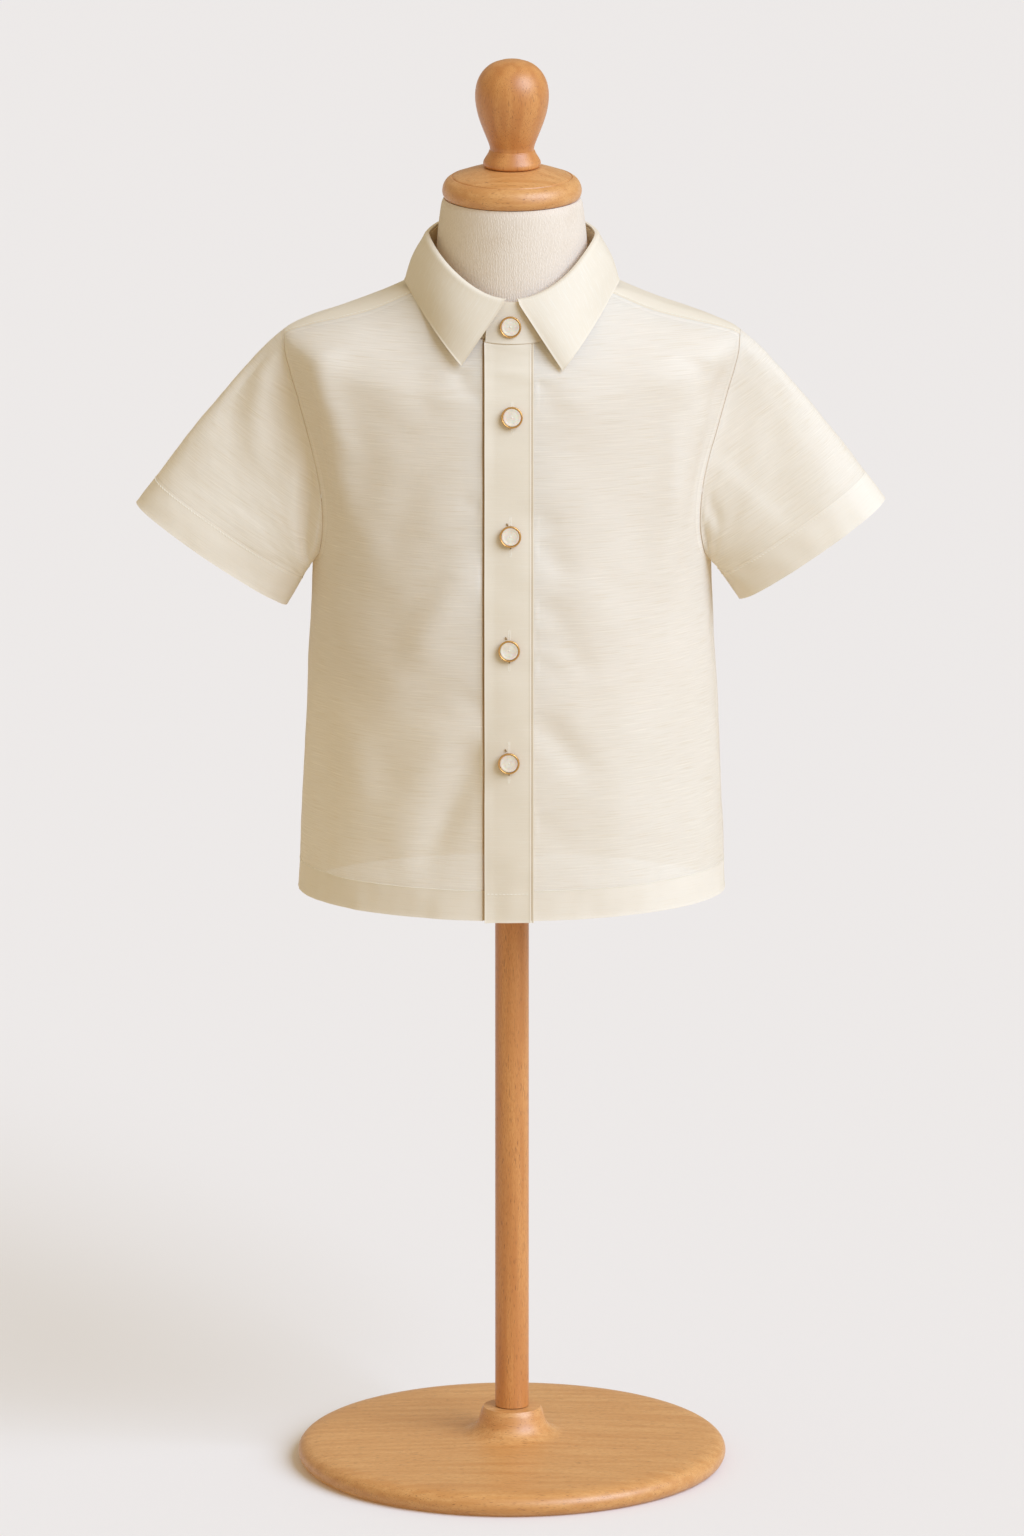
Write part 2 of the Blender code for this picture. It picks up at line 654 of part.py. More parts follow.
def make_collar_stand():
    """The band round the neck, whose buttoned end laps over the other at the centre front."""
    first = math.degrees(math.asin(STAND_INNER_END / BODY_RINGS[-1].half_width))
    last = -360 + math.degrees(math.asin(STAND_OUTER_END / BODY_RINGS[-1].half_width))
    columns = spread(last, first, STAND_COLUMNS)
    outer, inner = [], []
    for share in spread(0.0, 1.0, STAND_ROWS):
        outer_row, inner_row = [], []
        for around in columns:
            low = body_base(around, LEVEL_NECK)
            climb = (low - body_base(around, LEVEL_NECK - 1)).normalized()
            low = low + climb * LAID_GAP
            high = ring_point(STAND_TOP, around)
            ahead = ring_point(STAND_TOP, around + 1) - ring_point(STAND_TOP, around - 1)
            normal = ahead.cross(high - low).normalized()
            tuck = STAND_TUCK * (1 - eased(-around, STAND_TUCK_FROM, STAND_TUCK_TO))
            point = low.lerp(high, share) - normal * tuck
            outer_row.append(point)
            inner_row.append(point - normal * COLLAR_CLOTH)
        outer.append(outer_row)
        inner.append(inner_row)
    wall("collar_stand", outer, inner, "collar_cloth")


def leaf_columns():
    """(angle at the fold, angle at the outer edge) of each column of the collar's leaf."""
    start_fold = math.degrees(math.asin(LEAF_END_LEFT / STAND_TOP.half_width))
    end_fold = 360 - math.degrees(math.asin(LEAF_END_RIGHT / STAND_TOP.half_width))
    fold = spread(start_fold, end_fold, LEAF_COLUMNS)
    edge = spread(LEAF_TIP_ANGLE, 360 - LEAF_TIP_ANGLE, LEAF_COLUMNS)
    return list(zip(fold, edge))


def leaf_edge(around):
    """A point of the leaf's outer edge: a ring round the back, then straight to the collar point."""
    ahead = min(around, 360 - around)
    if ahead >= 90:
        return ring_point(LEAF_EDGE, around)
    side = ring_point(LEAF_EDGE, 90)
    tip = ring_point(LEAF_EDGE, LEAF_TIP_ANGLE)
    share = (ahead - LEAF_TIP_ANGLE) / (90 - LEAF_TIP_ANGLE)
    point = tip.lerp(side, share)
    point.y = tip.y * (1 - share ** LEAF_EDGE_REACH)
    if around > 180:
        point.x = -point.x
        point.z += LEAF_RIGHT_LIFT * (1 - share)
    return point


def leaf_column(fold_around, edge_around):
    """The leaf's outer face, from over the stand's top edge down to its own outer edge."""
    top = ring_point(STAND_TOP, fold_around)
    ahead = ring_point(STAND_TOP, fold_around + 1) - ring_point(STAND_TOP, fold_around - 1)
    outwards = ahead.cross(Vector((0, 0, 1))).normalized()
    points = [top + outwards * out + Vector((0, 0, up)) for out, up in LEAF_ROLL]
    start = points[-1]
    end = leaf_edge(edge_around)
    for share in spread(0.0, 1.0, LEAF_ROWS)[1:]:
        bow = outwards * LEAF_BOW * math.sin(math.pi * share)
        points.append(start.lerp(end, share) + bow)
    return points


def make_collar_leaf():
    columns = [leaf_column(fold, edge) for fold, edge in leaf_columns()]
    inner_columns = []
    for c, column in enumerate(columns):
        left, right = columns[max(0, c - 1)], columns[min(len(columns) - 1, c + 1)]
        inner = []
        for r, point in enumerate(column):
            down = column[min(len(column) - 1, r + 1)] - column[max(0, r - 1)]
            normal = down.cross(right[r] - left[r]).normalized()
            if normal.dot(Vector((point.x, point.y, LEAF_OUTWARD_RISE))) < 0:
                normal.negate()
            inner.append(point - normal * COLLAR_CLOTH)
        inner_columns.append(inner)
    wall("collar_leaf", columns, inner_columns, "collar_cloth")


def turned(name, profile, finish, sides, base):
    """A solid of revolution from its profile of (half width, height), standing at base."""
    points, rings, faces = [], [], []
    for half_width, height in profile:
        if half_width == 0:
            rings.append([len(points)] * sides)
            points.append(base + Vector((0, 0, height)))
            continue
        start = len(points)
        rings.append(list(range(start, start + sides)))
        for i in range(sides):
            angle = 2 * math.pi * i / sides
            spoke = Vector((half_width * math.cos(angle), half_width * math.sin(angle), height))
            points.append(base + spoke)
    for low, high in zip(rings, rings[1:]):
        for i in range(sides):
            j = (i + 1) % sides
            corners = [low[i], low[j], high[j], high[i]]
            faces.append(tuple(dict.fromkeys(corners)))
    return make_object(name, points, faces, finish)


def level_of_height(height):
    """The level at which the centre front is at this height."""
    low, high = 0.0, LEVEL_NECK
    for _ in range(HALVINGS):
        middle = (low + high) / 2
        if body_base(0, middle).z < height:
            low = middle
        else:
            high = middle
    return low


def make_button(name, point, normal):
    made = turned(name, BUTTON_PROFILE, "shell_and_gilt", BUTTON_SIDES, Vector())
    made.location = (point + normal * BUTTON_GAP) * MM
    made.rotation_mode = "QUATERNION"
    made.rotation_quaternion = normal.to_track_quat("Z", "Y")


def make_buttons():
    x, height = COLLAR_BUTTON
    around = math.degrees(math.asin(x / STAND_TOP.half_width))
    low, high = body_base(around, LEVEL_NECK), ring_point(STAND_TOP, around)
    share = (height - low.z) / (high.z - low.z)
    lean = (high - low).normalized()
    make_button("button_1", low.lerp(high, share), Vector((1, 0, 0)).cross(lean).normalized())
    for number, (x, height) in enumerate(zip(BUTTON_X, BUTTON_HEIGHTS), 2):
        level = level_of_height(height)
        around = around_of_x(level, x)
        seat = body_point(around, level, LAID_GAP + CLOTH)
        make_button(f"button_{number}", seat, body_normal(around, level))


def form_ring(level):
    body = smooth_row(BODY_RINGS, level)
    inset = smooth_row(FORM_INSETS, level)
    return Ring(
        level,
        body.side_height - inset.top,
        body.front_height - inset.top,
        body.back_height - inset.top,
        body.half_width - inset.side,
        body.front_depth - inset.front_back,
        body.back_depth - inset.front_back,
    )


def make_form():
    """The torso and neck: the shirt's own rings, drawn in, then the neck's."""
    lowest = form_ring(FORM_LEVELS[0])
    rings = []
    for step_in, drop in reversed(FORM_BOTTOM_ROUNDING):
        height = lowest.side_height - drop
        rings.append(lowest._replace(
            side_height=height,
            front_height=height,
            back_height=height,
            half_width=lowest.half_width - step_in,
            front_depth=lowest.front_depth - step_in,
            back_depth=lowest.back_depth - step_in,
        ))
    rings += [form_ring(level) for level in FORM_LEVELS[1:]] + list(NECK_RINGS)
    turns = [360 * i / FORM_SIDES for i in range(FORM_SIDES)]
    points = [ring_point(ring, turn, FRONT_LEVELNESS) for ring in rings for turn in turns]
    faces = []
    for r in range(len(rings) - 1):
        low, high = r * FORM_SIDES, (r + 1) * FORM_SIDES
        for i in range(FORM_SIDES):
            j = (i + 1) % FORM_SIDES
            faces.append((low + i, low + j, high + j, high + i))
    faces.append(tuple(range(FORM_SIDES)))
    faces.append(tuple(range(len(points) - FORM_SIDES, len(points))))
    make_object("form_torso", points, faces, "form_cover")
    return rings[0].side_height, rings[-1].side_height


def make_stand(form_bottom, form_top):
    base_top = BASE_PROFILE[-1][1]
    turned("base", BASE_PROFILE, "beech", BASE_SIDES, Vector())
    low, high = base_top + WOOD_GAP, form_bottom - WOOD_GAP
    pole = ((0.0, low), (POLE_RADIUS, low), (POLE_RADIUS, high), (0.0, high))
    turned("pole", pole, "beech", POLE_SIDES, Vector())
    cap_base = form_top + WOOD_GAP
    turned("neck_cap", CAP_PROFILE, "beech", CAP_SIDES, Vector((0, 0, cap_base)))
    knob_base = cap_base + CAP_PROFILE[-1][1] + WOOD_GAP
    turned("neck_knob", KNOB_PROFILE, "beech", KNOB_SIDES, Vector((0, 0, knob_base)))


def main():
    for old in list(bpy.data.objects):
        bpy.data.objects.remove(old)
    make_body()
    make_placket()
    make_collar_stand()
    make_collar_leaf()
    for name, sleeve in zip(("sleeve_right", "sleeve_left"), SLEEVES):
        make_sleeve(name, sleeve)
    make_buttons()
    form_bottom, form_top = make_form()
    make_stand(form_bottom, form_top)


main()
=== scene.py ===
"""A small child's short-sleeved barong shirt, buttoned up on a limbless dress form: the looks.

Sizes are millimetres and angles are degrees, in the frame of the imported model: +Z up, the
shirt's front facing -Y and the wearer's left side at +X, with the origin on the floor.

The shirt's body is one surface. `around` is the angle from the centre front (+90 is the
wearer's left side, 180 the centre back) and `level` is the distance up from the hem, along
the side and then along the shoulder to the neck. Every cloth piece is a thin shell on that
surface, with the folds of the whole garment running through it.
"""

import math

import bpy
import bmesh
import numpy as np
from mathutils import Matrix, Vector


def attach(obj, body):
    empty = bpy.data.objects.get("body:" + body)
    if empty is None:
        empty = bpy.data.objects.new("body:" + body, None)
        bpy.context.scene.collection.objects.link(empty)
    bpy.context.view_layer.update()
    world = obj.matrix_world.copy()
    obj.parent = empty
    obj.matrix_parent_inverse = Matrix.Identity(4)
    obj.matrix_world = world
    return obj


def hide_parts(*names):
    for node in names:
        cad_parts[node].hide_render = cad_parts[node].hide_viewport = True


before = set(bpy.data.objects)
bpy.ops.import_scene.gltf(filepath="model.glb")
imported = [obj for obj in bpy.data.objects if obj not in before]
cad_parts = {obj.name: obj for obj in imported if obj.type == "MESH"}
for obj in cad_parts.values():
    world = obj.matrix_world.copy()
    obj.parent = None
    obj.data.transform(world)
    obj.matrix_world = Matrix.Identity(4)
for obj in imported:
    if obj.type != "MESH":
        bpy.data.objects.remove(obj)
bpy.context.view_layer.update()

MM = 0.001
UP = np.array((0.0, 0.0, 1.0))
BODY = "root"

# ---- driving sizes

# The body's rings: level, side_height, front_height, back_height, half_width, front_depth, back_depth
BODY_RINGS = (
    (0, 388, 388, 388, 138.8, 92, 87),
    (80, 468, 468, 468, 135.4, 94.5, 84),
    (155, 543, 542, 542, 131.8, 94.5, 80),
    (221, 608, 606, 607, 129.2, 90, 78),
    (280, 667, 661, 665, 133.5, 83, 77),
    (330, 718.5, 702, 712, 143, 76, 74),
    (350, 739.5, 716.5, 730, 148, 73.3, 71.2),
    (363, 752, 725.5, 741.5, 149.8, 71.4, 68.8),
    (372, 759.2, 730.5, 748.5, 147.2, 70, 67),
    (386, 765.4, 736.5, 757.5, 135.5, 68.2, 64.5),
    (400, 770.2, 742, 766, 122, 66.5, 62),
    (430, 779.2, 752, 783, 93, 63, 57.5),
    (468, 792, 764, 803, 57, 60, 53),
)
SIDE_CREASE = 1.05
FRONT_LEVELNESS = 3.0
COLLAR_LEVELNESS = 2.0
LEVEL_ARMPIT = 221.0
LEVEL_TIP = 372.0
LEVEL_NECK = 468.0
LEVEL_STEPS = 4000

# The armhole: turn (0 the armpit, 180 its top), then the angle from the side line to its front and back edge
ARMHOLE = (
    (0, 0, 0), (24, 14.0, 8.0), (42, 19.4, 14.6), (58, 22.2, 18.4), (76, 22.4, 19.2), (95, 19.6, 18.4),
    (118, 15.6, 17.0), (140, 13.6, 14.2), (160, 10.2, 9.2), (180, 0, 0),
)
ARMHOLE_FRONT_SEAM = 168.0
ARMHOLE_BACK_SEAM = 128.0
YOKE_FRONT_AT_NECK = 12.0
YOKE_FRONT_BOW = 6.5
YOKE_BACK_AT_NECK = 13.5
FRONT_EDGE = 12.2
PLACKET_FREE_EDGE = -17.5
PLACKET_SEWN_EDGE = 14.0
PLACKET_DROP = 1.0
PLACKET_TOP = 467.4
PLACKET_THIN_FROM = 460.5
# What is left at its top of its distance from the fronts, and of its thickness
PLACKET_TOP_LIFT = 0.3
PLACKET_TOP_PLIES = 0.4
HEM_DEPTH = 20.0
CUFF_HEM_DEPTH = 22.0

# Folds: around_1, level_1, around_2, level_2, width, rise (+ a ridge, - a trough)
BODY_FOLDS = (
    (-56, 392, -50, 240, 12, 2.4), (-5, 252, -49, 112, 14, 2.6), (-47, 150, -46, -10, 15, 1.6),
    (-6, 126, -29, 16, 9, -3.0), (-66, 170, -63, -10, 14, -1.6), (-76, 205, -79, 30, 12, 1.6),
    (45, 388, 66, 322, 10, -1.6),
    (52, 352, 47, 180, 14, 2.6), (5, 288, 19, 216, 10, -1.0), (6, 198, 27, 158, 8, -1.4),
    (5, 142, 24, 92, 9, -1.8), (12, 240, 40, 176, 14, 1.4), (34, 150, 27, -8, 14, 1.6),
    (56, 150, 48, -8, 15, -1.6), (74, 206, 78, 30, 13, 1.6), (110, 338, 122, 186, 12, -3.4),
    (-109, 340, -125, 180, 12, -3.2), (130, 326, 141, 168, 15, 3.0), (-129, 320, -144, 186, 14, 2.8),
    (158, 210, 164, -8, 17, -3.4), (-157, 194, -166, -8, 16, -3.2), (138, 140, 147, -10, 15, 3.2),
    (-136, 150, -146, -10, 15, 3.2), (178, 270, 175, 50, 18, 2.6),
)
FINE_FOLDS = (
    (-83, 196, -84, 96, 5, -0.9), (84, 200, 83, 104, 5, -0.9), (112, 300, 116, 216, 6, 0.9),
    (-113, 296, -119, 210, 6, 0.9), (150, 250, 156, 150, 8, 0.9), (-150, 262, -152, 140, 8, 0.9),
    (168, 340, 172, 250, 9, 0.8), (-170, 330, -176, 246, 9, -0.8), (124, 120, 128, 10, 7, 0.9),
    (-122, 110, -128, 12, 7, 0.9),
)
# Small folds of the fronts, most of them pulled from the placket
FRONT_FOLDS = (
    (-7.8, 277, -15.5, 284, 6, -0.8), (-9.2, 250, -32.8, 160.5, 12, 2.0),
    (-9.5, 155, -23.2, 127.5, 9, -0.8), (-10, 152, -39.5, 42, 11, 2.3), (-8.2, 124, -24.2, 41.5, 9, -2.5),
    (-56.8, 397, -45.8, 285.5, 10, 1.6), (-61, 372, -60.8, 232.5, 7, -2.0),
    (-28, 333.5, -51.5, 222.5, 11, 1.2), (-24.2, 305, -40, 228.5, 9, -0.8),
    (-19, 416.5, -8.2, 359.5, 6, -1.1), (-31, 416.5, -18.5, 338, 8, -0.8), (7.5, 399, 11.2, 343, 6, -0.8),
    (6.8, 271.5, 14, 264, 6, -0.5), (7, 258, 16, 228, 7, -0.8), (7, 219, 22.5, 175, 8, -1.2),
    (6.2, 176, 17, 158.5, 7, -0.8), (6.8, 134, 25, 80.5, 9, -0.4), (6, 72, 18, 42.5, 8, -0.8),
    (50, 388.5, 58.5, 348, 6, -1.0), (59.8, 367, 68.5, 331.5, 6, -0.8), (45.2, 342, 51.8, 250.5, 8, 1.2),
    (6.8, 200, 18.2, 169, 7, 0.4), (-67, 384, -64.5, 262, 9, -1.3), (66, 374, 62, 240, 8, -1.6),
)
SWELLS = ((-57, 440, -55, 200, 25, 3.4), (53, 440, 51, 200, 25, 2.6))
# The folds' ends: shares over which they begin and end, and how far below the neck they stay
FOLD_FADE = 0.35
FRONT_FOLD_START = 0.25
FOLDS_FADE_FROM = 60.0
FOLDS_FADE_TO = 10.0
# How far from the placket's edge and the side line the fronts' small folds begin and are full
FRONT_FOLDS_FROM_PLACKET = (0.4, 4.5)
FRONT_FOLDS_FROM_SIDE = (0.0, 12.0)
# The cloth's mm to a degree of around
FOLD_RADIUS = 108.0
DEGREE_MM = math.radians(FOLD_RADIUS)

# Unevenness of the worn cloth: height, pitch and seed of each ripple
BODY_RIPPLES = ((0.32, 52, 3), (0.12, 20, 4))
HEM_WAVES = ((0.28, 22, 5),)
SLEEVE_RIPPLES = ((0.25, 34, 12), (0.10, 14, 14))
CUFF_WAVES = ((0.30, 16, 16),)
PLACKET_RIPPLES = ((0.10, 26, 8),)
PLACKET_STANDING_RIPPLES = ((0.5, 60, 9),)
LEAF_RIPPLES = ((0.22, 42, 21),)
RIPPLE_WAVES = 7
# The edges' waves are pulled longer up the cloth: factors across and along
HEM_WAVE_STRETCH = (1.6, 0.35)
CUFF_WAVE_STRETCH = 0.3
CUFF_WAVES_SHARES = (0.7, 0.95)
HEM_WAVES_END = 46.0
HEM_WAVES_FULL = 6.0
# Degrees over which the unevenness fades out where a piece's two ends meet
BACK_MEETING = 14.0
SLEEVE_MEETING = 20.0

# Sleeves: side, then the cuff's centre x and z, half_length, half_depth and tilt
SLEEVES = {
    "sleeve_right": (-1, 194.1, 611.5, 58.9, 29, 34.4),
    "sleeve_left": (1, 194.0, 615.0, 57.4, 33, 34.8),
}
CUFF_Y = -3.0
SLEEVE_HEAD = 17.0
SLEEVE_CROWN = 4.5
# Their folds, with turn and share along the sleeve in place of around and level
SLEEVE_UNDER_FOLDS = (
    (238, -0.05, 258, 0.80, 10, -2.4), (292, 0.0, 282, 1.1, 11, 2.2), (318, 0.1, 312, 0.9, 6, -0.8),
)
SLEEVE_FOLDS = {
    "sleeve_right": (
        (158, 0.03, 98, 0.46, 9, 4.4), (176, 0.10, 132, 0.50, 10, -2.4), (150, 0.40, 122, 0.74, 10, 0.6),
        (84, 0.55, 96, 1.08, 11, 0.9), (102, -0.08, 28, 0.52, 8, -6.0), (206, 0.1, 222, 0.9, 8, 1.0),
        *SLEEVE_UNDER_FOLDS,
    ),
    "sleeve_left": (
        (118, 0.04, 92, 0.52, 12, 1.1), (72, 0.00, 60, 0.36, 4, -1.3), (54, 0.03, 38, 0.2, 5, -1.6),
        (104, 0.45, 90, 0.95, 9, -0.9), (132, 0.3, 124, 0.9, 12, 0.7), (214, 0.1, 220, 0.9, 7, 0.9),
        *SLEEVE_UNDER_FOLDS,
    ),
}
SLEEVE_FOLD_RADIUS = 40.0
SLEEVE_DEGREE_MM = math.radians(SLEEVE_FOLD_RADIUS)
SLEEVE_FOLD_LENGTH = 90.0
SLEEVE_FOLD_START = 0.07
SLEEVE_LENGTH = 140.0
CUFF_HEM_SHARE = 1 - CUFF_HEM_DEPTH / SLEEVE_LENGTH
CUFF_FULLNESS = 0.85
CUFF_PULL = 0.35
# How far the sleeve's first rows keep off the body's edge, or off its face where their angle to the
# body's own cloth says that they are folded back over it, and up to which share
SLEEVE_OFF_EDGE = 0.15
SLEEVE_OFF_FACE = 0.45
FOLDED_BACK = (55, 105)
SLEEVE_CLEARING_TO = 0.06

# Collar: ring of the stand's top and of the leaf's outer edge, columns as in BODY_RINGS
STAND_TOP = (0, 821, 789.5, 829, 54.5, 56, 50)
STAND_HEIGHT = 26.0
STAND_OUTER_END = -16.0
STAND_INNER_END = 8.0
STAND_TUCK = 1.8
STAND_TUCK_FROM = 16.0
STAND_TUCK_TO = 42.0
STAND_LAP_FROM = 15.0
STAND_LAP_TO = 24.0
STAND_LAP_DROP = 1.5
STAND_LAP_LIFT = 1.5
LEAF_EDGE = (0, 791.6, 733.5, 792.5, 69.4, 74, 62)
LEAF_END_RIGHT = 3.8
LEAF_END_LEFT = 3.0
LEAF_TIP_ANGLE = 28.0
# The leaf's fold: distance down the leaf, then how far out from the stand's top and up
LEAF_ROLL = ((0.0, -1.0, 1.9), (1.7, 0.8, 1.85), (3.3, 2.1, 0.8), (5.9, 3.3, -1.6))
LEAF_LENGTH = 300.0
LEAF_DEPTH = 54.0
LEAF_BOW = 2.0
LEAF_EDGE_REACH = 1.8
LEAF_RIGHT_LIFT = 3.2
LEAF_END_SLANT = 1.8
LEAF_SLANT_FROM = 26.0
LEAF_EVEN_EDGE = 10.0

# Buttons: x and height of each, from the collar down
COLLAR_BUTTON = (-1.0, 773.6)
PLACKET_BUTTONS = ((0.0, 717.3), (-1.0, 641.8), (-1.8, 568.2), (-2.0, 494.4))
BUTTON_GAP = 0.35
BUTTON_OFF_BODY = 1.0
BUTTON_SIDES = 64

# Dress form: level, and how far it stays inside the shirt at the side, front and back, and top
FORM_INSETS = (
    (134, 17, 15, 0), (175, 14, 12, 0), (221, 12, 9.5, 0), (280, 9, 7, 1.0), (330, 7.5, 5.5, 1.6),
    (372, 6.5, 4.5, 2.0), (400, 5, 4, 2.4), (424, 5, 4, 2.6),
)
FORM_BOTTOM_ROUNDING = ((10.0, 6.0), (6.6, 3.0), (3.8, 1.0), (1.6, 0.2), (0.0, 0.0))
NECK_RINGS = (
    (1, 785.5, 758, 788, 60, 54, 46.5), (2, 792, 770, 795, 52.8, 50.8, 44.5),
    (3, 805, 793, 808, 49.6, 48.2, 43.5), (4, 825, 819, 828, 47.8, 46.3, 43),
    (5, 841, 839, 842, 45.8, 44.4, 42), (6, 846, 846, 846, 44.2, 42.8, 40.6),
)

# Thicknesses of the shells, and how far cloth pieces lie off each other
PLY = 0.35
HEM_PLIES = 0.95
COLLAR_PLIES = 0.9
PLACKET_PLIES = 0.8
YOKE_PLIES = 0.6
LAID_GAP = 0.4

# The rise and width of the roll along a hem's fold
HEM_ROLL = (0.2, 1.2)

# How far from the centre the fronts' columns keep parallel to the placket
BESIDE_PLACKET = 22.0

# How far the placket's free edge stands off the front, and how far in from the edge
PLACKET_STANDING = 0.55
PLACKET_STANDING_TO = 7.0

# The placket's columns in from its free and its sewn edge, and the rows of its lower end
PLACKET_FREE_COLUMNS = (0.0, 0.15, 0.35, 0.6, 0.9, 1.3, 1.9, 2.7)
PLACKET_SEWN_COLUMNS = (3.4, 2.9, 2.6, 2.35, 2.1, 1.85, 1.6, 1.35, 1.1, 0.85, 0.6, 0.4, 0.2, 0.08, 0.0)
PLACKET_MIDDLE_COLUMNS = (PLACKET_FREE_EDGE + 3.7, PLACKET_SEWN_EDGE - 4.4, 20)
PLACKET_HEM_ROWS = (-PLACKET_DROP, -0.6, -0.2, 0.3, 0.9, 1.8)
PLACKET_ROWS = (3.5, PLACKET_TOP, 250)

# Lines of stitches: in from the placket's sewn edge and the yoke's edges, up from the placket's end
STITCH_IN = 1.35
YOKE_STITCH_IN = 1.0
PLACKET_HEM_LEVEL = 18.2
YOKE_STITCH_UP = 1.9
# Around of the hem's lines of stitches on the left front, the right front and the back, and their points
HEM_SPANS = ((6.0, 90, 260), (-8.4, -90, 260), (90, 270, 520))
HEM_STITCH_UP = HEM_DEPTH - 0.2
# How far the middle of each thread lies above the cloth; the yoke's, above its face without the relief
SEAM_LIFT = 0.06
PLACKET_HEM_LIFT = 0.08
CUFF_LIFT = 0.08
HEM_LIFT = 0.04
YOKE_FRONT_LIFT = 0.36
YOKE_BACK_LIFT = 0.30
BUTTONHOLE_LIFT = 0.02
BUTTON_THREAD_LIFT = 0.4
# Stitches: length, gap and slant
CLOSE_STITCH = (0.85, 0.45)
HEM_STITCH = (0.85, 0.5, 0.7)
LONG_STITCH = (1.7, 0.8)
CUFF_STITCH = (1.3, 1.0, 0.7)
FIRST_STITCH = 0.15
THREAD_RADIUS = 0.2
TAN_THREAD_RADIUS = 0.27
# A thread's swell along its length, as share and part of its radius
THREAD_SHARES = ((0.0, 0.35), (0.18, 1.0), (0.82, 1.0), (1.0, 0.35))
THREAD_SIDES = 6

# The dark lines of the seams, partly painted shade in their grooves, are this much paler, as distances from
# them
FRONT_SEAM_PALER = 0.45
SLEEVE_SEAM_PALER = 0.5
# A distance from a seam at which the cloth is single
NOT_DOUBLED = 10.0

# Rows and columns of the cloth's grids
ARMHOLE_ROWS = 62
BACK_ARMHOLE_ROWS = 60
YOKE_SEAM_ROWS = 30
FRONT_COLUMNS = 70
BESIDE_PLACKET_STEP = 0.4
BACK_COLUMNS = 170
YOKE_ROWS = 34
SHOULDER_COLUMNS = 46
YOKE_BACK_COLUMNS = 121
SLEEVE_COLUMNS = (58, 31, 56)
SLEEVE_ROWS = 62
CUFF_HEM_ROWS = 12
STAND_COLUMNS = 230
STAND_ROWS = 12
LEAF_COLUMNS = 210
LEAF_ROWS = 34
LEAF_ROLL_ROWS = 14
CURVE_STEPS = 301
FORM_ROWS = 70
FORM_NECK_ROWS = 60

# Radii that turn degrees into mm of cloth for the maps of the sleeves, the band and the form
SLEEVE_GRAIN_RADIUS = 50.0
STAND_GRAIN_RADIUS = 58.0
FORM_GRAIN_RADIUS = 62.0
FORM_SIDES = 168
HARD_EDGE = 50.0

# The tuck of the right front just outside the placket's free edge
TUCK_FROM_EDGE = 0.9
TUCK_WIDTH = 0.6
TUCK_DEPTH = 1.3
TUCK_FADE = 8.0


# ---- the shirt's surface


def eased(value, start, end):
    """0 before start, 1 after end, and smooth between them."""
    share = np.clip((np.asarray(value, float) - start) / (end - start), 0, 1)
    return share * share * (3 - 2 * share)


def near(distance, width):
    """1 at a line, fading out over about a width on both sides of it."""
    return np.exp(-((np.asarray(distance, float) / width) ** 2))


def smooth_rows(table, at):
    """Rows of the table at values of its first column, on a smooth curve through its rows."""
    table = np.asarray(table, float)
    at = np.asarray(at, float)
    last = len(table) - 1
    low = np.clip(np.searchsorted(table[:, 0], at, side="right") - 1, 0, last - 1)
    before, start, end, after = (table[np.clip(low + step, 0, last)] for step in (-1, 0, 1, 2))
    span = (end - start)[..., :1]
    share = (at[..., None] - start[..., :1]) / span
    slope_0 = (end - before) / (end - before)[..., :1] * span
    slope_1 = (after - start) / (after - start)[..., :1] * span
    rise = 3 * share**2 - 2 * share**3
    bend_0 = share - 2 * share**2 + share**3
    bend_1 = share**3 - share**2
    return start + (end - start) * rise + slope_0 * bend_0 + slope_1 * bend_1


def signed_power(value, power):
    return np.sign(value) * np.abs(value) ** power


def unit(vectors):
    return vectors / np.linalg.norm(vectors, axis=-1, keepdims=True)


def ring_point(ring, around, levelness=COLLAR_LEVELNESS):
    """Points of rings at angles from the centre front."""
    ring = np.asarray(ring, float)
    angle = np.radians(around)
    ahead = signed_power(np.cos(angle), SIDE_CREASE)
    depth = np.where(ahead > 0, ring[..., 5], ring[..., 6])
    end_height = np.where(ahead > 0, ring[..., 2], ring[..., 3])
    height = end_height + (ring[..., 1] - end_height) * np.abs(np.sin(angle)) ** levelness
    return np.stack((ring[..., 4] * np.sin(angle), -depth * ahead, height), -1)


def fold_rise(folds, across, along, scale=(DEGREE_MM, 1.0), start=FOLD_FADE):
    """How far the folds lift the cloth at each place; start is the share over which one begins."""
    total = np.zeros(np.broadcast(across, along).shape)
    for across_1, along_1, across_2, along_2, width, rise in folds:
        step_x = (across_2 - across_1) * scale[0]
        step_y = (along_2 - along_1) * scale[1]
        x = (across - across_1) * scale[0]
        y = (along - along_1) * scale[1]
        share = (x * step_x + y * step_y) / (step_x**2 + step_y**2)
        off_line = np.hypot(x - step_x * share, y - step_y * share)
        fade = eased(share, 0.0, start) * eased(share, 1.0, 1.0 - FOLD_FADE)
        total = total + rise * fade * near(off_line, width)
    return total


def ripple(across, along, pitch, seed):
    """A soft unevenness between about -1 and 1, the same each time; pitch is its size in mm."""
    source = np.random.default_rng(seed)
    total = 0.0
    for _ in range(RIPPLE_WAVES):
        bearing = source.uniform(0, 2 * math.pi)
        turns = 2 * math.pi / (pitch * source.uniform(0.7, 1.6))
        phase = source.uniform(0, 2 * math.pi)
        total = total + np.sin(turns * (across * math.cos(bearing) + along * math.sin(bearing)) + phase)
    return total / (RIPPLE_WAVES / 2)


def uneven_by(table, across, along, seed=0):
    """The sum of a table's ripples; seed is added to those in the table."""
    return sum(height * ripple(across, along, pitch, own + seed) for height, pitch, own in table)


def wrapped(around):
    return (np.asarray(around, float) + 180.0) % 360.0 - 180.0


def body_base(around, level):
    return ring_point(smooth_rows(BODY_RINGS, level), around, FRONT_LEVELNESS)


